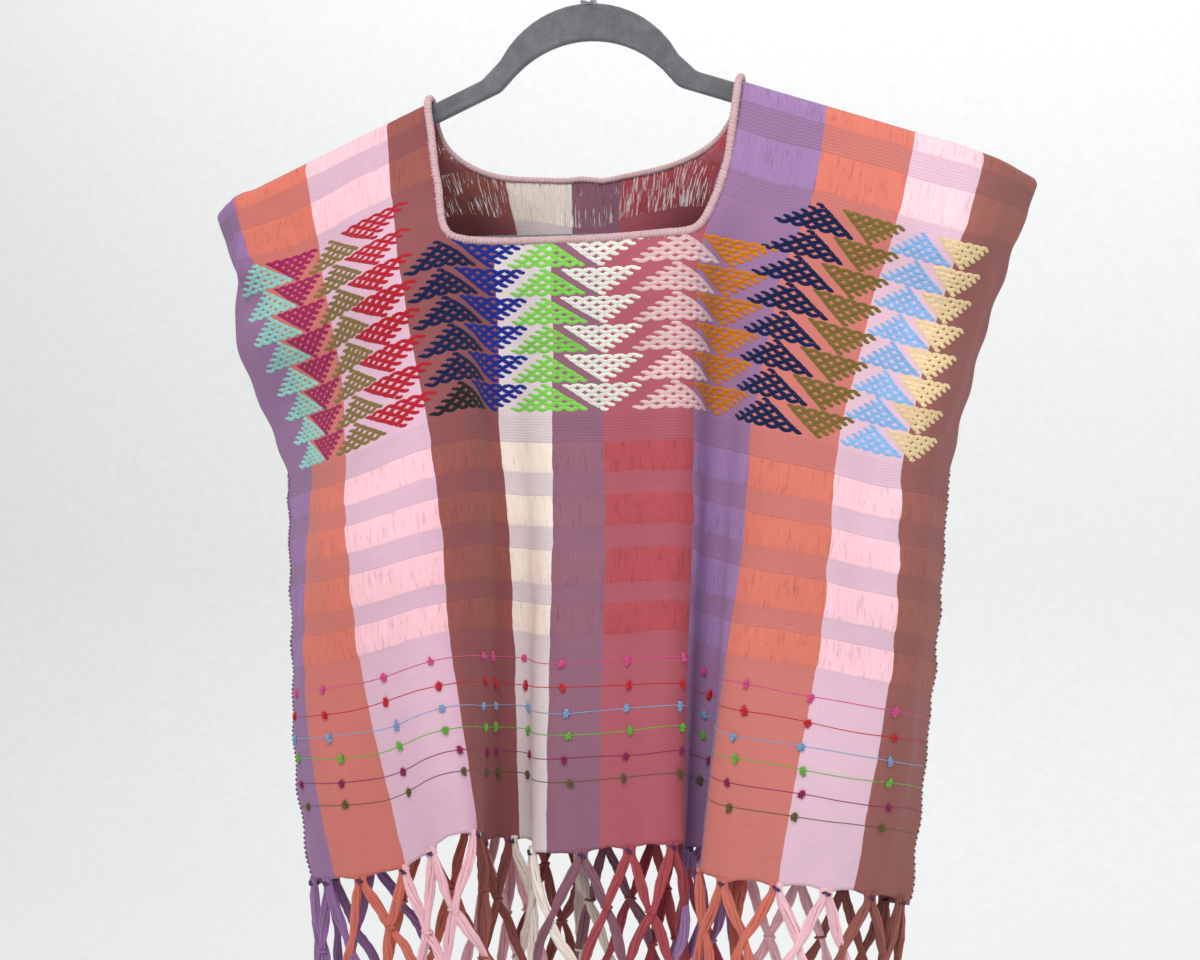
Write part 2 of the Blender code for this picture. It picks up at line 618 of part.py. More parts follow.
def offset_loop(P, d):
    """Closed outline moved by d to its inside (outline runs clockwise)."""
    t = np.roll(P, -1, 0) - np.roll(P, 1, 0)
    t /= np.linalg.norm(t, axis=1, keepdims=True)
    return P + d * np.stack([t[:, 1], -t[:, 0]], -1)


XH = HANGER_HALF
zt = CREST_TOP
arm_l = zt - NECK_DROP - ARM_SLOPE_LEFT * (XH - NECK_X)
arm_r = zt - NECK_DROP - ARM_SLOPE_RIGHT * (XH - NECK_X)
bar_lo, bar_hi = zt - BAR_BOTTOM, zt - BAR_TOP
arc = crest_arc(CREST_OUTER_R, zt, 0.0530, 23)
outer_pts = ([(-XH, bar_lo), (-XH, arm_l)] + [(-0.0640, zt - NECK_DROP - ARM_SLOPE_LEFT * 0.005)]
             + arc + [(0.0640, zt - NECK_DROP - ARM_SLOPE_RIGHT * 0.005)]
             + [(XH, arm_r), (XH, bar_lo)])
outer_rad = [0.0160, 0.0150, 0.010] + [0.0] * len(arc) + [0.010, 0.0150, 0.0160]
OUT = fillet_path(outer_pts, outer_rad)
XI = XH - 0.0110
in_arc = crest_arc(CREST_INNER_R, zt - CREST_BAND, 0.0440, 17)


def under(x):
    s = ARM_SLOPE_LEFT if x < 0 else ARM_SLOPE_RIGHT
    return zt - NECK_DROP - s * (abs(x) - NECK_X) - ARM_BAND


inner_pts = ([(-XI, bar_hi), (-XI, under(-XI))] + [(-0.0530, under(-0.0530) + 0.0002)] + in_arc
             + [(0.0530, under(0.0530) + 0.0002)] + [(XI, under(XI)), (XI, bar_hi)])
inner_rad = [0.0070, 0.0060, 0.012] + [0.0] * len(in_arc) + [0.012, 0.0060, 0.0070]
INN = fillet_path(inner_pts, inner_rad)


def hanger_body():
    h, b = HANGER_THICK / 2, EDGE_ROUND
    layers = []                     # (outer loop, inner loop, y)
    for y, d in ((-h, b), (-h + b * 0.5, b * 0.25), (-h + b * 1.3, 0.0),
                 (h - b * 1.3, 0.0), (h - b * 0.5, b * 0.25), (h, b)):
        layers.append((offset_loop(OUT, d), offset_loop(INN, -d), y))
    verts, faces = [], []
    no, ni = len(OUT), len(INN)
    for o, i, y in layers:
        verts += [(p[0], y, p[1]) for p in o] + [(p[0], y, p[1]) for p in i]
    per = no + ni
    for k in range(len(layers) - 1):
        for base, n in ((0, no), (no, ni)):
            for i in range(n):
                j = (i + 1) % n
                faces.append((k * per + base + i, k * per + base + j,
                              (k + 1) * per + base + j, (k + 1) * per + base + i))
    for k in (0, len(layers) - 1):
        o, i, y = layers[k]
        pts = [Vector(p) for p in o] + [Vector(p) for p in i]
        ed = ([(a, (a + 1) % no) for a in range(no)]
              + [(no + a, no + (a + 1) % ni) for a in range(ni)])
        res = delaunay_2d_cdt(pts, ed, [], 0, 1e-7)
        remap = [src[0] for src in res[3]]
        hole = np.array(i)
        ring_o = np.array(o)

        def within(poly, q):
            x, z = q
            a, b2 = poly, np.roll(poly, -1, 0)
            c = (a[:, 1] > z) != (b2[:, 1] > z)
            xs = (b2[:, 0] - a[:, 0]) * (z - a[:, 1]) / (b2[:, 1] - a[:, 1] + 1e-30) + a[:, 0]
            return (np.count_nonzero(c & (x < xs)) % 2) == 1
        for f in res[2]:
            c = np.mean([tuple(res[0][q]) for q in f], 0)
            if within(ring_o, c) and not within(hole, c):
                faces.append(tuple(k * per + remap[q] for q in f))
    return add("hanger_body", verts, faces, MAT["flock"])


hanger_body()

# ----------------------------------------------------------------------- hook
zc = HOOK_WIRE_R - HOOK_BEND_R          # crown's underside lies at z = 0
wire = []
foot = CREST_TOP + 0.0004 + HOOK_COLLAR_H
for z in np.linspace(foot + 0.0002, zc - HOOK_BEND_R - 0.006, 5):
    wire.append((0.0, 0.0, z))
start = math.radians(-90)
for k in range(1, 34):
    a = start + math.radians(HOOK_TAIL_DEG + 60) * k / 33
    r = HOOK_BEND_R
    wire.append((r * math.cos(a), 0.0, zc + r * math.sin(a)))
wire = np.array(wire)
sm = wire.copy()
for _ in range(2):                       # ease the shank into the bend
    sm[3:8] = (sm[2:7] + 2 * sm[3:8] + sm[4:9]) / 4
wire = sm
hook_ob = tube("hook", wire, HOOK_WIRE_R, 8, MAT["steel"])
ca = np.arange(16) / 16 * 2 * math.pi
collar = [(HOOK_COLLAR_R * math.cos(a), HOOK_COLLAR_R * math.sin(a), CREST_TOP + 0.0004) for a in ca]
collar += [(0.8 * HOOK_COLLAR_R * math.cos(a), 0.8 * HOOK_COLLAR_R * math.sin(a),
            CREST_TOP + 0.0004 + HOOK_COLLAR_H) for a in ca]
faces = [tuple(range(16)), tuple(range(16, 32))] + [
    (i, (i + 1) % 16, 16 + (i + 1) % 16, 16 + i) for i in range(16)]
add("hook_collar", collar, faces, MAT["steel"])
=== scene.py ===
"""Looks of the huipil blouse: its web, brocade, tufts, bound neck, whipped
sides, net fringe and flocked hanger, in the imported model's own frame."""
import bpy
import math
import numpy as np
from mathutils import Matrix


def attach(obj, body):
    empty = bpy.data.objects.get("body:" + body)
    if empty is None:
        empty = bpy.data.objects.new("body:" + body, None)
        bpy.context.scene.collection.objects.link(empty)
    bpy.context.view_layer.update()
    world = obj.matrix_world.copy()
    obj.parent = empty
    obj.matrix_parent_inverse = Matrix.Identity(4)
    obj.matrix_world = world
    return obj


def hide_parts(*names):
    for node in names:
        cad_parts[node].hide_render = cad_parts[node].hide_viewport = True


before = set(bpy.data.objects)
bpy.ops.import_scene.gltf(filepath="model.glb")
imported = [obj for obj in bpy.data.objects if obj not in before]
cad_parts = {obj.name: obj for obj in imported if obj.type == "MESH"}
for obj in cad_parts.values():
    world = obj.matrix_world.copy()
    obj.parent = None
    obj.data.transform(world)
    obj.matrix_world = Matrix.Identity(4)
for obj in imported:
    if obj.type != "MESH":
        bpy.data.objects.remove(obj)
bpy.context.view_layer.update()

# The web's own surface, with the same named sizes as the part.
CM = 0.01
GAP = 0.0003                  # clearance between neighbouring pieces

# ----------------------------------------------------------------- the hanger
CREST_TOP = -0.0800           # top of the crest below the hook's underside
CREST_OUTER_R = 0.0605        # outer arc of the crest
CREST_BAND = 0.0217           # height of the crest band at its top
CREST_INNER_R = 0.0620
NECK_X = 0.0590               # where the crest runs out into the arms
NECK_DROP = 0.0400            # that place, below the crest's top
ARM_SLOPE_LEFT = 0.435        # the hanger hangs a little low on its left
ARM_SLOPE_RIGHT = 0.325
ARM_BAND = 0.0122             # height of an arm
HANGER_HALF = 0.2080          # middle to the end of an arm
HANGER_THICK = 0.0060
BAR_TOP = 0.1330              # trouser bar, below the crest's top
BAR_BOTTOM = 0.1425
EDGE_ROUND = 0.0014

# ------------------------------------------------------------------- the hook
HOOK_WIRE_R = 0.0018
HOOK_BEND_R = 0.0225          # wire centre line
HOOK_TAIL_DEG = 205.0         # how far the wire runs round from the shank side
HOOK_COLLAR_R = 0.0052
HOOK_COLLAR_H = 0.0030

# -------------------------------------------------------------------- the web
CLOTH = 0.0015                # wall
WEB_LENGTH = 43.9             # shoulder fold to hem, cm
ARMHOLE = 18.6                # shoulder fold to the top of the side join, cm
NECK_FRONT = 8.35             # drop of the neck hole in front, cm
NECK_BACK = 4.65
SQUARE_FRONT = 15.0           # squareness of the neck hole's corners
SQUARE_BACK = 3.8
SHOULDER_R = 0.0052           # radius of the web's fold over an arm
BIND_R = 0.0024               # round bound edge of the neck
JOIN_R = 0.0014               # whipped side join
FRINGE_REACH = 11.6           # cm below the hem
FRINGE_THICK = 0.0050

# Warp stripes from the wearer's right selvedge (left in a front view) to the
# other one.  The two wide stripes that carry the vertical folds count as two.
STRIPES = (
    ("purple_l", 5.10), ("orange_l", 5.10), ("pink_l", 5.66),
    ("brown_l_out", 3.10), ("brown_l_in", 2.92), ("cream", 3.58),
    ("mauve", 2.99), ("rose", 5.58), ("purple_r_in", 2.45),
    ("purple_r_out", 2.92), ("orange_r", 5.66), ("pink_r", 4.20),
    ("brown_r", 5.47),
)
STRIPE_CM = np.array([w for _, w in STRIPES])
EDGES = np.concatenate([[0.0], np.cumsum(STRIPE_CM)])
WEB_WIDTH = EDGES[-1]
NECK_L, NECK_R = EDGES[4], EDGES[8]      # sides of the neck hole

# Plan direction of each stripe in degrees, one row for each level below the
# shoulder: 0 lies along the hanger, + turns its far end to the back.
# level   pu_l or_l pk_l br_o br_i crm  mve  ros  pu_i pu_o or_r pk_r br_r
FRONT_TURN = (
    ( 0.0, -60,  -8,   0,   0,   0,   0,   0,   0,   0,   0, -10,  -6,  66),
    ( 5.0, -55, -22, -18,  20,  22, -10, -10,  -2,  20,  -2, -14, -28,  73),
    ( 9.0, -45, -26, -29,  36,  54, -24, -12,  -8,  50,  -8,   2, -32,  76),
    (14.0, -44, -42, -30,  34,  74, -28,  -6, -14,  76, -32,  -3, -36,  79),
    (18.0, -52, -51, -14,  40,  92, -30,   4, -16,  84, -50,  -4, -34,  79),
    (25.0, -61, -46,   6,  58,  90, -52,  14, -14,  96, -60, -10, -26,  82),
    (31.0, -66, -33,  -6,  66,  88, -66,  20, -14, 100, -82,   4, -18,  82),
    (38.0, -64, -14, -24,  92,  82, -76,  24, -14, 110, -92,  -8,  -2,  74),
    (44.0, -60,  -8, -34, 114,  72, -80,  26, -18, 120, -96, -16,   8,  68),
)
# Rise of each stripe along the same way, in per cent of its width.
FRONT_TILT = (
    ( 0.0,   7,  26,  42,  42,  20,   0,   0,   0, -33, -33, -32, -33, -20),
    ( 5.0,   7,  18,  41,  42,   4,  -2,  -1,   4, -34, -20, -30, -31,  -5),
    ( 9.0,   9,  19,  41,  32,  -3,  -4,  -2,   6, -12, -22, -28, -30,  -6),
    (14.0,  11,  14,  41,  29,  -6,  -2,  -1,   4,  -6, -22, -26, -27,  -7),
    (18.0,   9,  10,  39,  27,  -9,  -2,   0,   4, -11, -18, -22, -23,  -9),
    (25.0,   7,   8,  32,  14, -12,  -4,   2,   8, -26, -13, -14, -19, -14),
    (31.0,   8,  15,  32,   2, -12,  -3,   1,  12, -40,  -3, -13, -17, -17),
    (38.0,  10,  10,  42, -15,  -8,  -4,   3,  14, -24, -26, -10, -12, -17),
    (44.0,  13,  18,  60, -40,   1, -22,  10,  13, -18, -40,   2,  -9, -22),
)
# Course of the two warp lines that pass the neck corners, cm: x, y and depth
# below the hook on the left one, then on the right one.
NECK_LINES = (
    ( 0.0, -9.7, -0.5, 13.2,  9.0, -0.5, 13.0),
    ( 5.0, -8.8, -1.4, 18.4,  8.2, -1.4, 18.3),
    ( 9.0, -7.9, -2.8, 22.4,  6.95, -2.3, 22.3),
    (14.0, -7.05, -2.8, 27.2,  6.65, -2.0, 27.3),
    (18.0, -6.3, -3.1, 31.2,  6.5, -1.8, 31.3),
    (25.0, -5.6, -3.5, 37.9,  6.6, -1.8, 38.1),
    (31.0, -5.4, -3.4, 43.8,  6.5, -1.8, 44.0),
    (38.0, -5.3, -3.4, 50.6,  6.3, -1.8, 50.5),
    (44.0, -5.5, -2.8, 56.4,  6.0, -1.4, 56.4),
)
# The hidden back hangs in softer folds of its own between the same selvedges.
BACK_TURN = (
    ( 0.0, -56,  -8,   1,   1,   0,   0,   0,   1,   0,   0,  -2,  -4,  64),
    ( 5.0, -52, -18,  13,  10,  10,  12,  -2, -12,   2, -13, -14,  -7,  38),
    ( 9.0, -40, -20,  36,  28, -14, -18,   0,  18,  16, -30, -34,  -8,  32),
    (18.0, -34,  -8,  66,  44, -55, -66,   0,  66,  33, -59, -62, -12,  32),
    (31.0, -24,   2,  76,  52, -64, -76,   5,  76,  31, -71, -69,   0,  32),
    (44.0, -22,   7,  80,  62, -62, -84,  -7,  82,  42, -72, -79,   2,  36),
)
# How far the back sags between the sides of the neck hole, cm.
BACK_SAG = ((0.0, 0.0), (2.0, 0.35), (4.5, 1.15), (7.0, 1.25), (12.0, 0.6),
            (20.0, 0.1), (31.0, 0.0), (44.0, 0.0))
# How far the back's hem is lifted where the front's own hem rises, cm.
BACK_LIFT = ((0.0, 0.0), (25.0, 0.0), (31.0, 0.4), (38.0, 1.2), (44.0, 2.2))
# Share of its flat width that the web takes up across, by level: the gauze
# over the arms is drawn together a little.
GATHER = ((0.0, 0.960), (5.0, 0.960), (9.0, 0.985), (14.0, 1.0), (18.0, 0.990),
          (25.0, 1.0), (44.0, 1.0))
# Distance from front selvedge to back selvedge, cm, by level.
ARMHOLE_OPEN = ((0.0, 0.9), (5.0, 1.8), (11.0, 2.4), (16.0, 1.5), (18.6, 0.34),
                (25.0, 0.34), (44.0, 0.34))
# How far the back's middle stands behind its selvedges' own line, cm.
BACK_SWELL = ((0.0, 0.0), (5.0, 0.3), (10.0, 0.8), (18.0, 0.4), (31.0, 1.0),
              (44.0, 1.8))

STEP = 0.1                                # cm, step along a level line
NSTEP = int(round(WEB_WIDTH / STEP))
LINE_U = np.linspace(0.0, WEB_WIDTH, NSTEP + 1)


def rows_at(table, levels):
    """Smooth course of a table's columns between its rows."""
    t = np.array(table, float)
    lev, val = t[:, 0], t[:, 1:]
    n = len(lev)
    tan = np.zeros_like(val)
    tan[0] = (val[1] - val[0]) / (lev[1] - lev[0])
    tan[-1] = (val[-1] - val[-2]) / (lev[-1] - lev[-2])
    for i in range(1, n - 1):
        a, b = lev[i] - lev[i - 1], lev[i + 1] - lev[i]
        tan[i] = ((val[i + 1] - val[i]) / b * a
                  + (val[i] - val[i - 1]) / a * b) / (a + b)
    levels = np.asarray(levels, float)
    i = np.clip(np.searchsorted(lev, levels) - 1, 0, n - 2)
    h = (lev[i + 1] - lev[i])[:, None]
    s = np.minimum((levels - lev[i])[:, None] / h, 1.0)
    out = ((2 * s**3 - 3 * s**2 + 1) * val[i] + (3 * s**2 - 2 * s**3) * val[i + 1]
           + (s**3 - 2 * s**2 + s) * h * tan[i] + (s**3 - s**2) * h * tan[i + 1])
    past = np.maximum(levels - lev[-1], 0.0)[:, None]
    return out + past * tan[-1]


def across(cols):
    """Stripe values along a level line, eased from one stripe to the next."""
    mid = (EDGES[:-1] + EDGES[1:]) / 2
    u = (LINE_U[:-1] + LINE_U[1:]) / 2
    i = np.clip(np.searchsorted(mid, u), 1, len(mid) - 1)
    s = np.clip((u - mid[i - 1]) / (mid[i] - mid[i - 1]), 0.0, 1.0)
    s = 0.5 * s + 0.5 * s * s * (3 - 2 * s)
    return cols[:, i - 1] * (1 - s) + cols[:, i] * s


def walk(turn, tilt, levels):
    """Level lines as running sums of the stripes' directions, cm."""
    h, t = np.radians(across(turn)), across(tilt) / 100.0
    c = np.sqrt(np.maximum(0.05, 1.0 - t * t))
    ds = (LINE_U[1] - LINE_U[0]) * rows_at(GATHER, levels)[:, :, None]
    d = np.stack([c * np.cos(h), c * np.sin(h), t], -1) * ds
    return np.concatenate([np.zeros((len(turn), 1, 3)), np.cumsum(d, 1)], 1)


def arm_top(x):
    """Height of the hanger arm's upper edge, m, at x in m."""
    slope = np.where(x < 0, ARM_SLOPE_LEFT, ARM_SLOPE_RIGHT)
    return CREST_TOP - NECK_DROP - slope * (np.minimum(np.abs(x), HANGER_HALF) - NECK_X)


FOLD_CM = SHOULDER_R * math.pi / 2 / CM     # web used by half the shoulder fold
IA, IB = int(round(NECK_L / WEB_WIDTH * NSTEP)), int(round(NECK_R / WEB_WIDTH * NSTEP))


def ease(x):
    x = np.clip(x, 0.0, 1.0)
    return x * x * (3 - 2 * x)


def front_lines(levels):
    """Front level lines in metres below the shoulder fold: (levels, u, 3)."""
    C = walk(rows_at(FRONT_TURN, levels), rows_at(FRONT_TILT, levels), levels)
    A = rows_at(NECK_LINES, levels)
    L = A[:, None, 0:3] * np.array([1, 1, -1.0])
    R = A[:, None, 3:6] * np.array([1, 1, -1.0])
    P = np.empty_like(C)
    P[:, :IA + 1] = L + C[:, :IA + 1] - C[:, IA:IA + 1]
    P[:, IB:] = R + C[:, IB:] - C[:, IB:IB + 1]
    s = ((LINE_U[IA:IB + 1] - LINE_U[IA]) / (LINE_U[IB] - LINE_U[IA]))[None, :, None]
    P[:, IA:IB + 1] = L + C[:, IA:IB + 1] - C[:, IA:IA + 1] + s * (
        R - L - (C[:, IB:IB + 1] - C[:, IA:IA + 1]))
    return P * CM


def settle(P, levels):
    """Lay the top of the front on the hanger's arms and against their face."""
    top = front_lines([FOLD_CM])
    n = behind(top)[0]
    top = top[0]
    want_z = arm_top(top[:, 0]) + 3 * GAP + CLOTH / 2 - SHOULDER_R
    on_arm = np.abs(top[:, 0]) <= HANGER_HALF - 0.002
    dz = want_z - top[:, 2]
    dy = -SHOULDER_R * n[:, 1] - top[:, 1]
    k = np.nonzero(on_arm)[0]
    dz[:k[0]], dz[k[-1] + 1:] = dz[k[0]], dz[k[-1]]
    dy[:k[0]], dy[k[-1] + 1:] = dy[k[0]], dy[k[-1]]
    box = np.ones(13) / 13
    dz = np.convolve(np.pad(dz, 6, mode="edge"), box, "valid")
    dy = np.convolve(np.pad(dy, 6, mode="edge"), box, "valid")
    w = 1.0 - ease((np.asarray(levels) - FOLD_CM) / 5.0)
    P = P.copy()
    P[..., 1] += w[:, None] * dy
    P[..., 2] += w[:, None] * dz
    return clear_hanger(P, -1.0)


def clear_hanger(P, side):
    """Keep a layer on its own side of the hanger's ends, arms and bar."""
    P = P.copy()
    low = CREST_TOP - BAR_BOTTOM
    past, fade = (0.020, 0.016) if side < 0 else (0.013, 0.010)
    w = (ease((HANGER_HALF + past - np.abs(P[..., 0])) / fade)
         * ease((P[..., 2] - (low - 0.030)) / 0.024))
    e = 0.0006
    short = SHOULDER_R - e - side * P[..., 1]
    soft = np.where(short > e, short, np.maximum(short + e, 0.0) ** 2 / (4 * e))
    near = ease((arm_top(P[..., 0]) - P[..., 2] + 0.004) / 0.004)
    P[..., 1] += side * w * near * soft
    return P


def behind(P):
    """Level unit directions that point to the back of each level line."""
    t = np.gradient(P[..., :2], axis=1)
    t /= np.linalg.norm(t, axis=-1, keepdims=True)
    return np.stack([-t[..., 1], t[..., 0], np.zeros(t.shape[:2])], -1)


def front_hang(levels):
    return settle(front_lines(levels), levels)


def back_hang(levels):
    levels = np.asarray(levels, float)
    F = front_hang(levels)
    n = behind(F)
    g = np.maximum(rows_at(ARMHOLE_OPEN, levels)[:, 0], 0.34) * CM
    joined = ease((levels - 11.0) / 7.6)[:, None]
    straight = np.array([0, 1.0, 0])

    def part(edge):
        d = edge * (0.25 + 0.75 * joined) + straight * (1 - joined)
        return g[:, None] * d / np.linalg.norm(d, axis=1, keepdims=True)
    EL = F[:, 0] + part(n[:, 3])
    ER = F[:, -1] + part(n[:, -4])
    turn, tilt = rows_at(BACK_TURN, levels), rows_at(FRONT_TILT, levels)
    out = walk(turn, tilt, levels) * CM
    short = ER - EL - out[:, -1]
    P = EL[:, None] + out + (LINE_U / WEB_WIDTH)[None, :, None] * short[:, None]
    swell = rows_at(BACK_SWELL, levels)[:, 0] * CM
    side = ease(np.minimum(LINE_U, WEB_WIDTH - LINE_U) / 8.0)
    P[..., 1] += swell[:, None] * side[None]
    between = np.clip((LINE_U - NECK_L + 1.0) / (NECK_R - NECK_L + 2.0), 0.0, 1.0)
    lift = np.exp(-((LINE_U - 9.5) / 5.5) ** 2) * ease(LINE_U / 3.0)
    P[..., 2] += rows_at(BACK_LIFT, levels) * CM * lift[None]
    dip = np.maximum(np.sin(math.pi * between ** 0.85), 0.0) ** 1.5
    dip += 0.6 * np.exp(-((LINE_U - (NECK_L + NECK_R) / 2) / 2.2) ** 2)
    P[..., 2] -= rows_at(BACK_SAG, levels) * CM * dip[None]
    # at the shoulder the back starts from the same fold as the front
    if levels[0] > FOLD_CM:
        return clear_hanger(P, 1.0)
    top = front_hang([FOLD_CM])
    start = top + 2 * SHOULDER_R * behind(top)
    w = (1.0 - ease((levels - FOLD_CM) / 8.0))[:, None, None]
    first = P[:1]
    return clear_hanger(P + w * (start - first), 1.0)


def shell(side, levels):
    """Mid surface of one half of the web, over the shoulder fold and down."""
    levels = np.asarray(levels, float)
    hang = front_hang if side == "front" else back_hang
    P = hang(np.maximum(levels, FOLD_CM))
    top = front_hang([FOLD_CM])
    n = behind(top)
    th = np.minimum(levels, FOLD_CM) / FOLD_CM * math.pi / 2
    centre = top + SHOULDER_R * n
    sgn = -1.0 if side == "front" else 1.0
    arc = (centre + SHOULDER_R * (sgn * np.sin(th)[:, None, None] * n
                                  + np.cos(th)[:, None, None] * np.array([0, 0, 1.0])))
    up = (levels < FOLD_CM)[:, None, None]
    return np.where(up, arc, P)


class Half:
    """One half of the web as a surface P(u, v), with its outward normals."""

    def __init__(self, side):
        self.side = side
        self.v = np.unique(np.concatenate([
            np.linspace(0.0, FOLD_CM, 9), np.arange(1.0, 46.01, 0.5)]))
        self.P = shell(side, self.v)
        du = np.gradient(self.P, axis=1)
        dv = np.gradient(self.P, self.v, axis=0)
        n = np.cross(du, dv)
        n /= np.linalg.norm(n, axis=-1, keepdims=True)
        self.N = n if side == "front" else -n
        # outward means away from the other half: the front's is -Y
        if self.side == "front" and self.N[40, NSTEP // 2, 1] > 0:
            self.N = -self.N
        if self.side == "back" and self.N[40, NSTEP // 2, 1] < 0:
            self.N = -self.N

    def at(self, u, v, off=0.0):
        u, v = np.asarray(u, float), np.asarray(v, float)
        fu = np.clip(u / WEB_WIDTH * NSTEP, 0, NSTEP - 1e-6)
        i = fu.astype(int)
        a = (fu - i)[..., None]
        j = np.clip(np.searchsorted(self.v, v, side="right") - 1, 0, len(self.v) - 2)
        b = np.clip((v - self.v[j]) / (self.v[j + 1] - self.v[j]), 0, 1)[..., None]
        out = []
        for F in (self.P, self.N):
            out.append((F[j, i] * (1 - a) + F[j, i + 1] * a) * (1 - b)
                       + (F[j + 1, i] * (1 - a) + F[j + 1, i + 1] * a) * b)
        n = out[1] / np.linalg.norm(out[1], axis=-1, keepdims=True)
        return out[0] + n * off, n


FRONT, BACK = Half("front"), Half("back")


# ------------------------------------------------------------- woven bands
# Gauze bands, cm below the shoulder fold: from, to, how open.
GAUZE = {
    "front": ((-1.0, 1.3, 0.5), (2.6, 4.6, 0.5), (19.9, 21.7, 0.4), (23.1, 24.9, 0.4),
              (26.3, 28.2, 0.4), (29.4, 31.2, 0.4)),
    "back": ((-1.0, 1.3, 0.5), (2.2, 3.4, 0.8), (4.0, 6.2, 1.0), (19.9, 21.7, 0.4),
             (23.1, 24.9, 0.4), (26.3, 28.2, 0.4), (29.4, 31.2, 0.4)),
}
# Plain bands with heavier picks that stand out as ribs: from, to, how much.
RIBBED = ((1.3, 2.6, 1.0), (4.6, 6.0, 0.7), (18.4, 19.9, 0.8), (21.7, 23.1, 0.35),
          (24.9, 26.3, 0.35), (28.2, 29.4, 0.35))

# Creases laid over the main folds: start u, v, end u, v in cm, height
# in mm (+ stands out, - sinks in) and half width in cm.
CREASES = {
    "front": (
        (2.2, 3.0, 2.9, 14.0, 1.6, 0.9), (4.6, 8.0, 4.2, 21.0, -1.5, 0.8),
        (7.4, 19.0, 7.9, 30.0, 1.7, 1.0), (9.6, 24.0, 9.0, 43.0, -1.6, 0.9),
        (6.2, 31.0, 6.9, 44.0, 1.4, 0.8), (1.6, 24.0, 2.3, 32.0, -1.9, 0.9),
        (2.8, 33.0, 1.9, 43.0, 1.8, 0.8), (12.6, 20.0, 13.3, 34.0, 1.3, 1.2),
        (14.6, 33.0, 14.2, 44.0, -1.4, 1.0), (11.4, 2.0, 14.4, 6.5, 0.9, 0.8),
        (20.4, 24.0, 20.9, 42.0, 1.2, 1.0), (24.0, 20.0, 24.5, 35.0, -0.8, 1.3),
        (27.2, 28.0, 27.0, 44.0, 0.9, 1.2), (33.5, 17.0, 33.3, 46.0, -3.8, 1.5),
        (30.7, 19.0, 30.9, 45.0, 1.6, 1.2),
        (38.4, 20.0, 37.9, 33.0, 1.5, 0.9), (41.2, 26.0, 41.9, 44.0, -1.5, 1.0),
        (43.6, 1.5, 42.2, 7.5, -1.0, 0.9), (46.6, 19.0, 46.9, 31.0, 1.4, 1.1),
        (50.4, 20.0, 50.9, 29.0, -1.7, 0.9), (52.6, 6.0, 52.3, 17.0, 1.5, 0.8),
        (51.8, 31.0, 51.2, 42.0, 1.6, 1.0), (48.2, 36.0, 48.7, 44.0, -1.2, 0.8),
        (10.0, 6.0, 17.6, 9.5, -0.8, 0.9), (45.4, 5.0, 36.2, 9.4, -0.9, 0.9),
    ),
    "back": (
        (2.6, 4.0, 2.1, 15.0, 1.6, 0.9), (5.2, 10.0, 5.9, 24.0, -1.6, 0.9),
        (8.8, 18.0, 8.2, 33.0, 1.7, 1.0), (11.6, 26.0, 12.1, 43.0, -1.5, 1.0),
        (14.9, 8.0, 14.1, 20.0, 1.2, 1.1), (18.8, 22.0, 19.6, 41.0, -1.6, 1.1),
        (23.1, 12.0, 22.7, 27.0, 1.1, 1.2), (26.4, 24.0, 26.9, 44.0, -1.4, 1.1),
        (30.2, 17.0, 29.6, 31.0, 1.3, 1.1), (33.6, 27.0, 34.2, 43.0, 1.5, 1.0),
        (37.5, 10.0, 36.9, 24.0, -1.5, 0.9), (41.3, 22.0, 41.8, 38.0, 1.5, 1.0),
        (45.2, 18.0, 44.6, 33.0, -1.6, 1.0), (48.6, 28.0, 49.3, 44.0, 1.6, 0.9),
        (51.9, 8.0, 51.4, 20.0, -1.4, 0.8), (9.8, 5.0, 16.8, 8.2, -0.9, 0.9),
        (46.0, 4.6, 37.4, 8.0, -0.9, 0.9),
    ),
}


def bands(table, v, soft=0.16):
    """1 inside the bands, 0 outside."""
    out = np.zeros_like(v)
    for row in table:
        out = np.maximum(out, ease((v - row[0]) / soft + 0.5) * ease((row[1] - v) / soft + 0.5))
    return out


def wander(u, v, seed, lu, lv, n=7):
    """Smooth irregular field of about -1 to 1; lu and lv are its wavelengths, cm."""
    r = np.random.default_rng(seed)
    out = np.zeros(np.broadcast(u, v).shape)
    for _ in range(n):
        a, b = r.uniform(0.5, 1.5, 2) * r.choice([-1.0, 1.0], 2)
        out = out + np.sin(2 * math.pi * (u / lu * a + v / lv * b) + r.uniform(0, 2 * math.pi))
    return out / math.sqrt(n)


def anchors(side):
    """Where the warp ends are tied along the hem, cm from the left selvedge."""
    r = np.random.default_rng(21 if side == "front" else 22)
    base = np.linspace(1.15, WEB_WIDTH - 1.15, 19)
    base[1:-1] += r.uniform(-0.30, 0.30, 17)
    return base


ANCHORS = {s: anchors(s) for s in ("front", "back")}


def hem_edge(side, u):
    """How far the hem's edge reaches below its straight line, cm."""
    a = ANCHORS[side]
    i = np.clip(np.searchsorted(a, u), 1, len(a) - 1)
    w = np.clip((u - a[i - 1]) / (a[i] - a[i - 1]), 0, 1)
    arch = np.sin(math.pi * w) ** 0.6
    return 0.10 - 0.34 * arch + 0.03 * wander(u, 0 * u, 5, 1.1, 1.0)


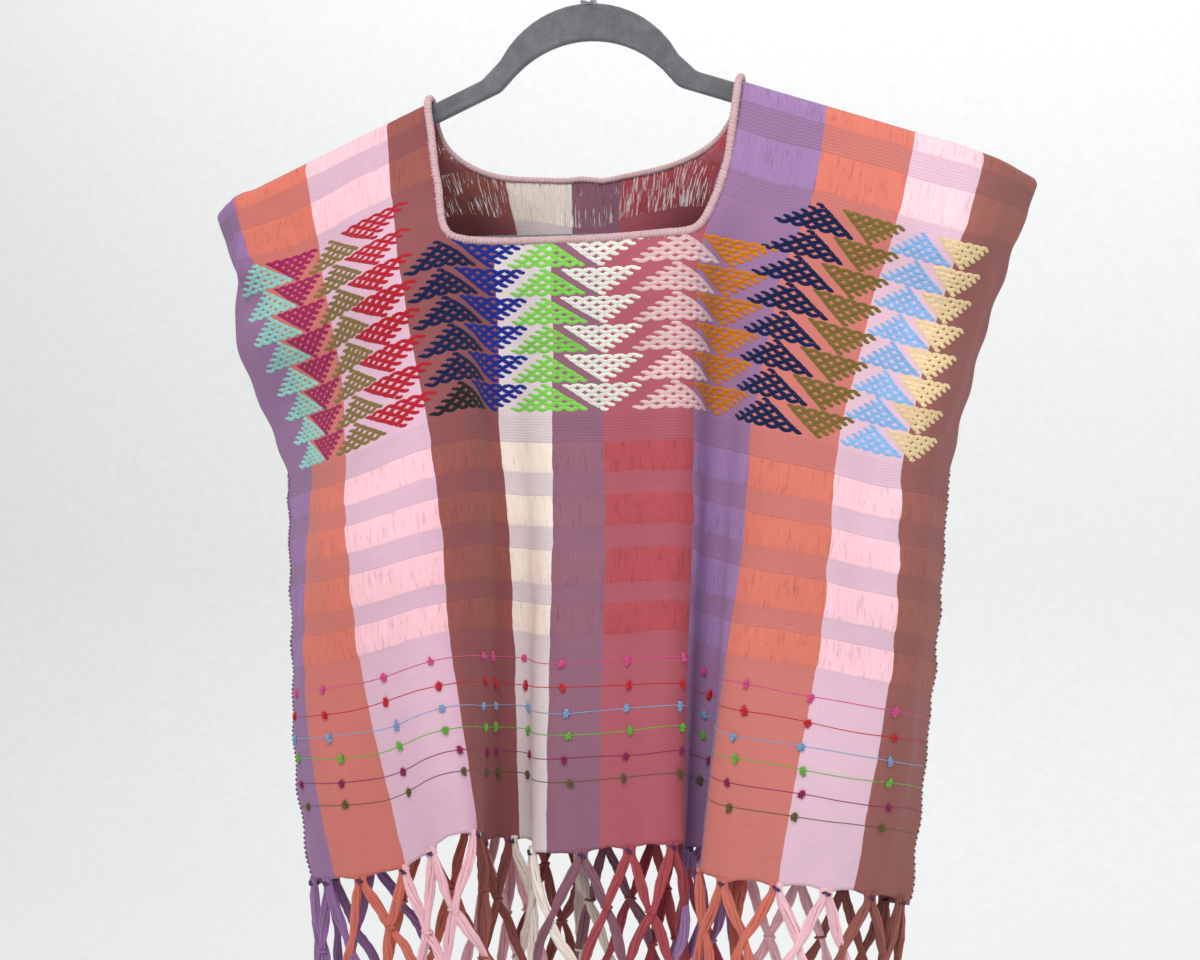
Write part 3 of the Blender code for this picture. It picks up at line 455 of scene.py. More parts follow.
def relief(side, u, v):
    """Height of the cloth over its main form, cm."""
    seed = 100 if side == "front" else 200
    z = np.zeros_like(u)
    for a, b, c, d, h, w in CREASES[side]:
        lu, lv = c - a, d - b
        ll = lu * lu + lv * lv
        t = np.clip(((u - a) * lu + (v - b) * lv) / ll, 0, 1)
        # the crease itself wanders a little as it runs
        side_way = (u - a - t * lu) + 0.35 * np.sin(t * 5.0 + a)
        along = (v - b - t * lv)
        dist = np.sqrt(side_way**2 + 0.5 * along**2)
        taper = np.sin(math.pi * np.clip(t, 0.03, 0.97)) ** 0.7
        z += 0.1 * h * taper * np.exp(-(dist / w) ** 2)
    g = bands(GAUZE[side], v, 0.5)
    z += 0.055 * g * (0.55 + 0.45 * wander(u, v, seed + 3, 9.0, 5.0))
    z += 0.022 * g * wander(u, v, seed + 1, 1.5, 6.0)
    z += 0.010 * wander(u, v, seed + 2, 3.2, 3.0)
    rim = np.exp(-np.minimum(u, WEB_WIDTH - u) / 0.9)
    z += 0.055 * rim * wander(u * 0, v, seed + 4, 1.0, 4.2)
    free = ease((v - 1.0) / 2.5)
    z = z * (0.15 + 0.85 * free)
    hem = ease((v - 41.0) / 2.9)
    z += 0.05 * hem * wander(u, 0 * v, seed + 5, 2.6, 1.0)
    return z


def slide(side, u, v):
    """Sideways give of the cloth: gauze spreads, plain weave draws in, cm."""
    seed = 300 if side == "front" else 400
    g = bands(GAUZE[side], v, 0.7)
    out = (u - WEB_WIDTH / 2) / (WEB_WIDTH / 2)
    below = ease((v - 2.0) / 3.0)
    give = (g - 0.45) * np.sign(out) * np.abs(out) ** 0.7 * (0.135 + 0.05 * wander(u, v, seed, 14.0, 9.0))
    rim = np.exp(-np.minimum(u, WEB_WIDTH - u) / 1.2)
    edge = np.sign(out) * rim * (0.032 * wander(u * 0, v, seed + 1, 1.0, 3.1)
                                 + 0.007 * wander(u * 0, v, seed + 2, 1.0, 1.3))
    return give * below + edge + 0.02 * wander(u, v, seed + 3, 6.0, 4.0) * below


class Drape:
    """The cloth in detail, as a surface P(u, v) in metres with outward normals."""

    def __init__(self, half):
        self.side = half.side
        self.u = np.linspace(0.0, WEB_WIDTH, NSTEP + 1)
        self.v = np.unique(np.concatenate([np.linspace(0.0, FOLD_CM, 9),
                                           np.arange(1.0, 46.3, 0.2)]))
        V, U = np.meshgrid(self.v, self.u, indexing="ij")
        P, N = half.at(U, V)
        T = np.gradient(P, axis=1)
        T /= np.linalg.norm(T, axis=-1, keepdims=True)
        P = P + CM * (N * relief(self.side, U, V)[..., None] + T * slide(self.side, U, V)[..., None])
        du = np.gradient(P, axis=1)
        dv = np.gradient(P, self.v, axis=0)
        n = np.cross(du, dv)
        n /= np.linalg.norm(n, axis=-1, keepdims=True)
        n *= np.sign(np.sum(n * N, -1, keepdims=True))
        self.P, self.N = P, n
        self.T = du / np.linalg.norm(du, axis=-1, keepdims=True)
        self.D = dv / np.linalg.norm(dv, axis=-1, keepdims=True)

    def frame(self, u, v):
        u, v = np.asarray(u, float), np.asarray(v, float)
        uc = np.clip(u, 0, WEB_WIDTH)
        vc = np.clip(v, 0, self.v[-1])
        fu = np.clip(uc / WEB_WIDTH * NSTEP, 0, NSTEP - 1e-6)
        i = fu.astype(int)
        a = (fu - i)[..., None]
        j = np.clip(np.searchsorted(self.v, vc, side="right") - 1, 0, len(self.v) - 2)
        b = np.clip((vc - self.v[j]) / (self.v[j + 1] - self.v[j]), 0, 1)[..., None]
        out = [(F[j, i] * (1 - a) + F[j, i + 1] * a) * (1 - b)
               + (F[j + 1, i] * (1 - a) + F[j + 1, i + 1] * a) * b
               for F in (self.P, self.N, self.T, self.D)]
        p, n, t, d = out
        p = p + CM * ((u - uc)[..., None] * t + (v - vc)[..., None] * d)
        n = n / np.linalg.norm(n, axis=-1, keepdims=True)
        return p, n, t, d

    def at(self, u, v, off=0.0):
        p, n, _, _ = self.frame(u, v)
        off = np.asarray(off, float)
        return p + n * (off[..., None] if off.ndim else off), n


CLOTHS = {"front": Drape(FRONT), "back": Drape(BACK)}
DROPS = {"front": NECK_FRONT, "back": NECK_BACK}
SQUARE = {"front": SQUARE_FRONT, "back": SQUARE_BACK}


# ---------------------------------------------------------------- mesh helpers
def new_mesh(name, verts, faces, mats, mat_index=None, smooth=True, attrs=None):
    """faces: (n, 3) or (n, 4) whole numbers, or a list of such blocks."""
    verts = np.asarray(verts, np.float32).reshape(-1, 3)
    blocks = faces if isinstance(faces, list) else [faces]
    blocks = [np.asarray(b, np.int32) for b in blocks if len(b)]
    me = bpy.data.meshes.new(name)
    me.vertices.add(len(verts))
    me.vertices.foreach_set("co", verts.ravel())
    loops = np.concatenate([b.ravel() for b in blocks])
    sizes = np.concatenate([np.full(len(b), b.shape[1], np.int32) for b in blocks])
    starts = np.concatenate([[0], np.cumsum(sizes)[:-1]]).astype(np.int32)
    me.loops.add(len(loops))
    me.loops.foreach_set("vertex_index", loops)
    me.polygons.add(len(sizes))
    me.polygons.foreach_set("loop_start", starts)
    me.polygons.foreach_set("loop_total", sizes)
    if mat_index is not None:
        me.polygons.foreach_set("material_index", np.asarray(mat_index, np.int32))
    me.polygons.foreach_set("use_smooth", np.full(len(sizes), smooth))
    me.update(calc_edges=True)
    for key, val in (attrs or {}).items():
        val = np.asarray(val, np.float32)
        if val.ndim == 1:
            at = me.attributes.new(key, "FLOAT", "POINT")
            at.data.foreach_set("value", val)
        else:
            at = me.attributes.new(key, "FLOAT_VECTOR", "POINT")
            at.data.foreach_set("vector", val.ravel())
    for m in mats:
        me.materials.append(m)
    me.validate()
    ob = bpy.data.objects.new(name, me)
    bpy.context.scene.collection.objects.link(ob)
    return ob


class Batch:
    """Many small swept shapes joined in one mesh."""

    def __init__(self):
        self.v, self.f, self.m, self.a, self.s, self.n = [], [], [], [], [], 0

    def sweep(self, P, X, Y, px, py, mat, closed=True, caps=True, tint=None, taper=None,
              stretch=None):
        """P, X, Y: (m, k, 3) paths and their cross axes; px, py: the profile."""
        P, X, Y = (np.asarray(q, float) for q in (P, X, Y))
        if P.ndim == 2:
            P, X, Y = P[None], X[None], Y[None]
        m, k, _ = P.shape
        s = len(px)
        px, py = np.asarray(px, float), np.asarray(py, float)
        w = np.ones((m, k)) if taper is None else np.broadcast_to(taper, (m, k))
        wx, wy = (w, w) if stretch is None else (w * stretch[0], w * stretch[1])
        V = (P[:, :, None] + X[:, :, None] * (px * wx[..., None])[..., None]
             + Y[:, :, None] * (py * wy[..., None])[..., None])
        idx = np.arange(m * k * s).reshape(m, k, s) + self.n
        nxt = np.roll(idx, -1, 2) if closed else idx[:, :, 1:]
        cur = idx if closed else idx[:, :, :-1]
        F = np.stack([cur[:, :-1], nxt[:, :-1], nxt[:, 1:], cur[:, 1:]], -1).reshape(-1, 4)
        fm = np.repeat(np.broadcast_to(mat, (m,)), F.shape[0] // m)
        self.f.append(F)
        self.m.append(fm)
        if caps and closed:
            if s == 4:
                C = np.concatenate([idx[:, 0, ::-1], idx[:, -1]])
                self.f.append(C)
                self.m.append(np.tile(np.broadcast_to(mat, (m,)), 2))
            else:
                for ring, flip in ((idx[:, 0], True), (idx[:, -1], False)):
                    tri = np.stack([np.repeat(ring[:, :1], s - 2, 1), ring[:, 1:-1], ring[:, 2:]], -1)
                    if flip:
                        tri = tri[..., ::-1]
                    tri = tri.reshape(-1, 3)
                    quad = np.concatenate([tri, tri[:, -1:]], 1)
                    self.f.append(tri)
                    self.m.append(np.repeat(np.broadcast_to(mat, (m,)), s - 2))
        self.v.append(V.reshape(-1, 3))
        tv = np.zeros(m) if tint is None else np.broadcast_to(tint, (m,))
        self.a.append(np.repeat(tv, k * s))
        # place on the yarn: how far along, and where round it
        run = np.concatenate([np.zeros((m, 1)), np.cumsum(
            np.linalg.norm(np.diff(P, axis=1), axis=-1), 1)], 1) / CM
        round_ = np.arctan2(py, px)
        run = run + (len(self.s) * 7.31 + np.arange(m)[:, None] * 3.7) % 97.0
        self.s.append(np.stack([np.broadcast_to(run[:, :, None], (m, k, s)),
                                np.broadcast_to(np.cos(round_), (m, k, s)),
                                np.broadcast_to(np.sin(round_), (m, k, s))], -1).reshape(-1, 3))
        self.n += m * k * s

    def build(self, name, mats):
        quads = [f for f in self.f if f.shape[1] == 4]
        tris = [f for f in self.f if f.shape[1] == 3]
        mq = [m for f, m in zip(self.f, self.m) if f.shape[1] == 4]
        mt = [m for f, m in zip(self.f, self.m) if f.shape[1] == 3]
        blocks, mi = [np.concatenate(quads)], [np.concatenate(mq)]
        if tris:
            blocks.append(np.concatenate(tris))
            mi.append(np.concatenate(mt))
        ob = new_mesh(name, np.concatenate(self.v), blocks, mats, np.concatenate(mi),
                      attrs={"tint": np.concatenate(self.a), "strand": np.concatenate(self.s)})
        return ob


def ring_profile(r, sides, ry=None, turn=0.0):
    a = np.arange(sides) / sides * 2 * math.pi + turn
    return r * np.cos(a), (r if ry is None else ry) * np.sin(a)


def axes(P, ref):
    """Cross axes of paths P (m, k, 3): X near ref, Y square to both."""
    T = np.gradient(P, axis=-2)
    T /= np.linalg.norm(T, axis=-1, keepdims=True) + 1e-12
    ref = np.broadcast_to(np.asarray(ref, float), P.shape)
    X = ref - T * np.sum(T * ref, -1, keepdims=True)
    X /= np.linalg.norm(X, axis=-1, keepdims=True) + 1e-12
    return T, X, np.cross(T, X)


# ------------------------------------------------------------------ materials
def lin(c):
    c = np.array(c, float) / 255.0
    return tuple(np.where(c <= 0.04045, c / 12.92, ((c + 0.055) / 1.055) ** 2.4))


class Nodes:
    """Short hand for building a material's nodes."""

    def __init__(self, name):
        self.mat = bpy.data.materials.new(name)
        self.mat.use_nodes = True
        self.t = self.mat.node_tree
        self.b = self.t.nodes["Principled BSDF"]

    def node(self, kind, **props):
        n = self.t.nodes.new(kind)
        for k, v in props.items():
            setattr(n, k, v)
        return n

    def link(self, a, b):
        self.t.links.new(a, b)

    def put(self, sock, val):
        if hasattr(val, "is_output") or hasattr(val, "links"):
            self.link(val, sock)
        else:
            sock.default_value = val

    def math(self, op, a, b=None, c=None, clamp=False):
        n = self.node("ShaderNodeMath", operation=op, use_clamp=clamp)
        for s, v in zip(n.inputs, (a, b, c)):
            if v is not None:
                self.put(s, v)
        return n.outputs[0]

    def mix(self, f, a, b, blend="MIX"):
        n = self.node("ShaderNodeMix", data_type="RGBA", blend_type=blend)
        self.put(n.inputs[0], f)
        self.put(n.inputs[6], a if hasattr(a, "links") else (*a, 1.0))
        self.put(n.inputs[7], b if hasattr(b, "links") else (*b, 1.0))
        return n.outputs[2]

    def combine(self, x, y, z):
        n = self.node("ShaderNodeCombineXYZ")
        for s, v in zip(n.inputs, (x, y, z)):
            self.put(s, v)
        return n.outputs[0]

    def noise(self, vec, scale, detail=2.0, rough=0.5):
        n = self.node("ShaderNodeTexNoise")
        self.link(vec, n.inputs["Vector"])
        n.inputs["Scale"].default_value = scale
        n.inputs["Detail"].default_value = detail
        n.inputs["Roughness"].default_value = rough
        return n.outputs["Fac"]

    def ramp(self, fac, stops, interp="LINEAR"):
        n = self.node("ShaderNodeValToRGB")
        r = n.color_ramp
        r.interpolation = interp
        while len(r.elements) > 1:
            r.elements.remove(r.elements[-1])
        for i, (p, c) in enumerate(stops):
            e = r.elements[0] if i == 0 else r.elements.new(p)
            e.position = p
            e.color = (*c, 1.0) if len(c) == 3 else c
        self.put(n.inputs[0], fac)
        return n.outputs[0]

    def span(self, x, a, b, c=0.0, d=1.0):
        n = self.node("ShaderNodeMapRange", clamp=True)
        self.put(n.inputs[0], x)
        for k, v in zip(range(1, 5), (a, b, c, d)):
            n.inputs[k].default_value = v
        return n.outputs[0]

    def bump(self, height, dist, strength=1.0, normal=None):
        n = self.node("ShaderNodeBump")
        n.inputs["Strength"].default_value = strength
        n.inputs["Distance"].default_value = dist
        self.link(height, n.inputs["Height"])
        if normal is not None:
            self.link(normal, n.inputs["Normal"])
        return n.outputs[0]


# Colours of each stripe's warp: where gauze shows it, and under the mauve weft.
DYES = (
    ("purple_l", (150, 110, 160), (146, 108, 147)),
    ("orange_l", (208, 114, 98), (200, 114, 106)),
    ("pink_l", (240, 188, 198), (214, 175, 193)),
    ("brown_l", (147, 84, 78), (140, 81, 83)),
    ("cream", (238, 224, 212), (218, 204, 206)),
    ("mauve", (142, 96, 112), (142, 97, 116)),
    ("rose", (173, 76, 84), (171, 89, 101)),
    ("purple_r", (155, 120, 166), (151, 114, 152)),
    ("orange_r", (212, 118, 102), (200, 118, 110)),
    ("pink_r", (247, 198, 208), (221, 185, 201)),
    ("brown_r", (154, 94, 86), (148, 92, 88)),
)
DYE_EDGES = [0.0] + [float(EDGES[i]) for i in (1, 2, 3, 5, 6, 7, 8, 10, 11, 12)]


def stripe_of(u):
    return int(np.clip(np.searchsorted(DYE_EDGES, u, side="right") - 1, 0, 10))


def web_material(side):
    k = Nodes("web_cloth_" + side)
    at = k.node("ShaderNodeAttribute", attribute_name="cloth")
    sep = k.node("ShaderNodeSeparateXYZ")
    k.link(at.outputs["Vector"], sep.inputs[0])
    U, V = sep.outputs[0], sep.outputs[1]
    mul = lambda x, y: k.math("MULTIPLY", x, y)
    add = lambda x, y: k.math("ADD", x, y)
    # the weft runs a little unevenly, so bands and lines waver
    sway = k.noise(k.combine(mul(U, 0.35), mul(V, 0.12), 3.0), 1.0, 3.0)
    Vw = add(V, mul(k.math("SUBTRACT", sway, 0.5), 0.30))

    def at_v(v):
        return (v + 2.0) / 50.0

    def band_at(shift):
        """Which band: red = gauze, green = ribs, blue = how open."""
        marks = [(a, b, (1.0, 0.0, o)) for a, b, o in GAUZE[side]]
        for a, b, w in RIBBED:
            if side == "front" or a > 6:
                marks.append((a, b, (0.0, w, 0.0)))
        marks.sort()
        stops = [(0.0, (0, 0, 0))]
        for a, b, c in marks:
            stops += [(at_v(a), c), (at_v(b), (0, 0, 0))]
        merged = {}
        for p, c in stops:                 # a band that starts where one ends wins
            p = round(p, 5)
            if p not in merged or sum(c):
                merged[p] = c
        where = k.math("DIVIDE", add(Vw, 2.0 + shift), 50.0)
        sc = k.node("ShaderNodeSeparateColor")
        k.link(k.ramp(where, sorted(merged.items()), "CONSTANT"), sc.inputs[0])
        return sc.outputs
    here, past, before = band_at(0.0), band_at(0.055), band_at(-0.055)
    gauze, ribs, opened = here[0], here[1], here[2]
    # painted shade in a thin strip above each gauze band edge, painted highlight in a thin strip below it
    gap = lambda x, y: k.math("ABSOLUTE", k.math("SUBTRACT", x, y))
    edge_shade_line, edge_highlight_line = gap(past[0], here[0]), gap(here[0], before[0])
    # stripes
    Uw = add(U, mul(k.math("SUBTRACT", k.noise(
        k.combine(mul(U, 0.2), mul(V, 1.3), 9.0), 1.0, 2.0), 0.5), 0.10))
    pu = k.math("DIVIDE", Uw, WEB_WIDTH)
    open_c = k.ramp(pu, [(e / WEB_WIDTH, lin(d[1])) for e, d in zip(DYE_EDGES, DYES)], "CONSTANT")
    plain_c = k.ramp(pu, [(e / WEB_WIDTH, lin(d[2])) for e, d in zip(DYE_EDGES, DYES)], "CONSTANT")
    # threads: warp ends differ end to end, picks differ pick to pick
    ends = k.noise(k.combine(mul(U, 15.0), mul(V, 0.25), 1.0), 1.0, 3.0, 0.65)
    picks = k.noise(k.combine(mul(U, 0.30), mul(V, 12.0), 5.0), 1.0, 3.0, 0.65)
    slub = k.noise(k.combine(mul(U, 0.55), mul(V, 7.0), 15.0), 1.0, 2.0, 0.5)
    patch = k.noise(k.combine(U, V, 2.0), 0.28, 3.0, 0.55)
    col = k.mix(gauze, plain_c, open_c)
    tone = add(0.94, mul(patch, 0.12))
    tone = mul(tone, add(0.94, mul(ends, 0.12)))
    tone = mul(tone, k.math("SUBTRACT", 1.06, mul(picks, k.math("SUBTRACT", 0.12, mul(gauze, 0.08)))))
    loose = mul(k.span(slub, 0.60, 0.70), k.math("SUBTRACT", 1.0, gauze))
    tone = k.math("SUBTRACT", tone, mul(loose, 0.05))
    # gauze: ends bunch together in fine upright streaks and short slits
    streak = k.noise(k.combine(mul(U, 9.5), mul(V, 0.42), mul(gauze, 4.0)), 1.0, 4.0, 0.62)
    rift = k.noise(k.combine(mul(U, 5.2), mul(V, 0.72), 7.0), 1.0, 3.0, 0.6)
    slit = k.span(rift, 0.585, 0.66)
    bright = k.span(rift, 0.30, 0.42, 1.0, 0.0)
    fine = mul(mul(k.math("SUBTRACT", streak, 0.5), gauze), 0.30)
    tone = add(tone, fine)
    # the slits are painted darker: painted shade inside the openings
    tone = mul(tone, k.math("SUBTRACT", 1.0, mul(mul(slit, gauze), 0.17)))
    tone = add(tone, mul(mul(bright, gauze), 0.06))
    # painted shade and painted highlight along the gauze band edges
    tone = k.math("SUBTRACT", tone, mul(edge_shade_line, 0.09))
    tone = add(tone, mul(edge_highlight_line, 0.05))
    # ribbed plain: heavier picks stand out; the grooves between them are painted darker as painted shade
    rib = k.math("SINE", mul(Vw, 2 * math.pi / 0.165))
    tone = k.math("SUBTRACT", tone, mul(mul(k.span(rib, -0.1, 0.9), ribs), 0.11))
    vec = k.node("ShaderNodeCombineColor")
    for i in range(3):
        k.link(tone, vec.inputs[i])
    col = k.mix(1.0, col, vec.outputs[0], "MULTIPLY")
    k.link(col, k.b.inputs["Base Color"])
    # relief of the threads
    warp_t = k.math("SINE", mul(U, 2 * math.pi * 11.0))
    weft_t = k.math("SINE", mul(Vw, 2 * math.pi * 9.0))
    h = add(mul(mul(warp_t, weft_t), 0.10), mul(picks, 0.55))
    h = mul(h, k.math("SUBTRACT", 1.0, gauze))
    hg = k.math("SUBTRACT", mul(streak, 1.6), mul(slit, 1.1))
    h = add(h, mul(gauze, hg))
    h = add(h, mul(mul(rib, ribs), -0.40))
    h = add(h, mul(edge_highlight_line, 0.7))
    k.link(k.bump(h, 0.0005, 0.5), k.b.inputs["Normal"])
    # open slits let the light through
    thin = k.noise(k.combine(mul(U, 13.0), mul(V, 0.95), 27.0), 1.0, 3.0, 0.58)
    patchy = k.span(k.noise(k.combine(mul(U, 0.33), mul(V, 0.5), 41.0), 1.0, 2.0), 0.35, 0.60, -0.05, 0.07)
    very = k.span(opened, 0.70, 1.0)
    through = k.span(k.math("ADD", thin, k.math("ADD", mul(very, 0.045), mul(patchy, very))), 0.60, 0.63)
    through = mul(mul(through, gauze), k.span(opened, 0.55, 0.80))
    k.link(k.math("SUBTRACT", 1.0, mul(through, 0.62)), k.b.inputs["Alpha"])
    k.b.inputs["Roughness"].default_value = 0.86
    k.b.inputs["Sheen Weight"].default_value = 0.10
    k.b.inputs["Sheen Roughness"].default_value = 0.5
    k.b.inputs["Specular IOR Level"].default_value = 0.15
    return k.mat


def yarn_material(name, rgb, fuzz=0.12, ply=2.2, along=1.4, depth=0.0004):
    """Soft cotton yarn: strands along it from the yarn's own coordinates, fuzz over all."""
    k = Nodes(name)
    tc = k.node("ShaderNodeTexCoord")
    st = k.node("ShaderNodeAttribute", attribute_name="strand")
    sp = k.node("ShaderNodeSeparateXYZ")
    k.link(st.outputs["Vector"], sp.inputs[0])
    lay = k.noise(k.combine(k.math("MULTIPLY", sp.outputs[0], along), k.math("MULTIPLY", sp.outputs[1], ply),
                            k.math("MULTIPLY", sp.outputs[2], ply)), 1.0, 3.0, 0.6)
    lay = k.span(lay, 0.30, 0.70)
    fine = k.noise(tc.outputs["Object"], 1500.0, 2.0, 0.6)
    wide = k.noise(tc.outputs["Object"], 70.0, 2.0)
    at = k.node("ShaderNodeAttribute", attribute_name="tint")
    # the strands' raised crowns are painted lighter and the hollows between them darker, following the bump below:
    # painted shade
    tone = k.math("ADD", 0.80, k.math("MULTIPLY", lay, 0.22))
    tone = k.math("ADD", tone, k.math("MULTIPLY", fine, 0.14))
    tone = k.math("ADD", tone, k.math("MULTIPLY", k.math("SUBTRACT", wide, 0.5), 0.16))
    tone = k.math("ADD", tone, k.math("MULTIPLY", at.outputs["Fac"], 0.07))
    vec = k.node("ShaderNodeCombineColor")
    for i in range(3):
        k.link(tone, vec.inputs[i])
    k.link(k.mix(1.0, lin(rgb), vec.outputs[0], "MULTIPLY"), k.b.inputs["Base Color"])
    h = k.math("ADD", lay, k.math("MULTIPLY", fine, 0.35))
    k.link(k.bump(h, depth, 0.6), k.b.inputs["Normal"])
    k.b.inputs["Roughness"].default_value = 0.9
    k.b.inputs["Sheen Weight"].default_value = fuzz
    k.b.inputs["Sheen Roughness"].default_value = 0.4
    k.b.inputs["Specular IOR Level"].default_value = 0.15
    return k.mat


# ------------------------------------------------------------------ the web
def neck_offset(u, v, side):
    """Distance outside the neck hole's line, cm, and the way out of it."""
    drop, k = DROPS[side], SQUARE[side]
    uc, a = (NECK_L + NECK_R) / 2, (NECK_R - NECK_L) / 2
    x, y = (u - uc) / a, v / drop
    ax, ay = np.abs(x), np.maximum(np.abs(y), 0.0)
    m = np.maximum(np.maximum(ax, ay), 1e-6)
    rho = m * ((ax / m) ** k + (ay / m) ** k) ** (1.0 / k)
    gx = np.sign(x) * (ax / rho) ** (k - 1) / a
    gy = (ay / rho) ** (k - 1) / drop
    g = np.hypot(gx, gy)
    return (rho - 1.0) / g, gx / g, gy / g


CELL = 0.25


def make_web(side):
    cloth = CLOTHS[side]
    us = np.linspace(0.0, WEB_WIDTH, int(WEB_WIDTH / CELL) + 1)
    vs = np.concatenate([np.linspace(0, FOLD_CM, 7)[:-1],
                         np.linspace(FOLD_CM, WEB_LENGTH, int((WEB_LENGTH - FOLD_CM) / CELL) + 1)])
    V, U = np.meshgrid(vs, us, indexing="ij")
    f, gx, gy = neck_offset(U, V, side)
    snap = np.abs(f) < 0.56 * CELL
    U2 = np.where(snap, U - f * gx, U)
    V2 = np.where(snap & (V > 0), np.maximum(V - f * gy, 0.0), V)
    inside = f <= -0.56 * CELL
    low = ease((V2 - (WEB_LENGTH - 1.6)) / 1.6)
    V3 = V2 + low * hem_edge(side, U2)
    P, _ = cloth.at(U2, V3)
    idx = np.arange(U.size).reshape(U.shape)
    ok = ~(inside[:-1, :-1] | inside[1:, :-1] | inside[:-1, 1:] | inside[1:, 1:])
    Q = np.stack([idx[:-1, :-1], idx[:-1, 1:], idx[1:, 1:], idx[1:, :-1]], -1)[ok]
    used = np.unique(Q)
    remap = np.full(U.size, -1)
    remap[used] = np.arange(len(used))
    Q = remap[Q]
    tag = np.stack([U2.ravel(), V3.ravel(), np.full(U.size, 0.0 if side == "front" else 1.0)], -1)
    # faces look outward
    Pf = P.reshape(-1, 3)[used]
    nf = np.cross(Pf[Q[:, 1]] - Pf[Q[:, 0]], Pf[Q[:, 3]] - Pf[Q[:, 0]]).mean(0)
    if (nf[1] > 0) == (side == "front"):
        Q = Q[:, ::-1]
    ob = new_mesh("web_cloth_" + side, Pf, Q, [web_material(side)], attrs={"cloth": tag[used]})
    m = ob.modifiers.new("thickness", "SOLIDIFY")
    m.thickness = 0.0007
    m.offset = 0.0
    m.use_rim = True
    return ob


WEBS = {s: make_web(s) for s in ("front", "back")}

# ------------------------------------------------------------------ brocade
# One row for each column of triangles: centre from the left selvedge in cm,
# yarn, which way its point looks, rows worked in front, and size.
BROCADE = (
    (5.0, "mint", "up", 8, 1.08), (8.2, "magenta", "down", 8, 0.87),
    (11.2, "khaki", "up", 8, 0.90), (14.7, "red", "down", 8, 1.00),
    (18.4, "navy", "up", 6, 1.00), (21.8, "blue", "down", 6, 0.95),
    (25.1, "lime", "up", 6, 1.05), (28.8, "white", "down", 6, 1.00),
    (32.9, "rose_pale", "up", 6, 1.10), (36.6, "mustard", "down", 6, 1.00),
    (40.1, "navy", "up", 8, 1.06), (43.9, "olive", "down", 8, 0.90),
    (47.1, "sky", "up", 8, 0.86), (49.9, "sand", "down", 8, 0.68),
)
YARNS = {
    "mint": (152, 210, 200), "magenta": (160, 36, 92), "khaki": (134, 112, 66),
    "red": (182, 36, 52), "navy": (26, 34, 74), "blue": (38, 48, 140),
    "lime": (136, 208, 92), "white": (240, 238, 228), "rose_pale": (232, 196, 196),
    "mustard": (204, 122, 34), "olive": (125, 106, 52), "sky": (144, 186, 234),
    "sand": (236, 211, 163), "black": (38, 36, 40),
}
ROW_PITCH = 1.6375
ROW_TOP = 5.2
THREADS = 6
WAVE = 0.82                    # cm from hole to hole along a thread, at size 1


def peak(x, wave):
    """Narrow bump of height 1 once in each wave."""
    return ((1.0 + np.cos(2 * math.pi * x / wave)) / 2.0) ** 4


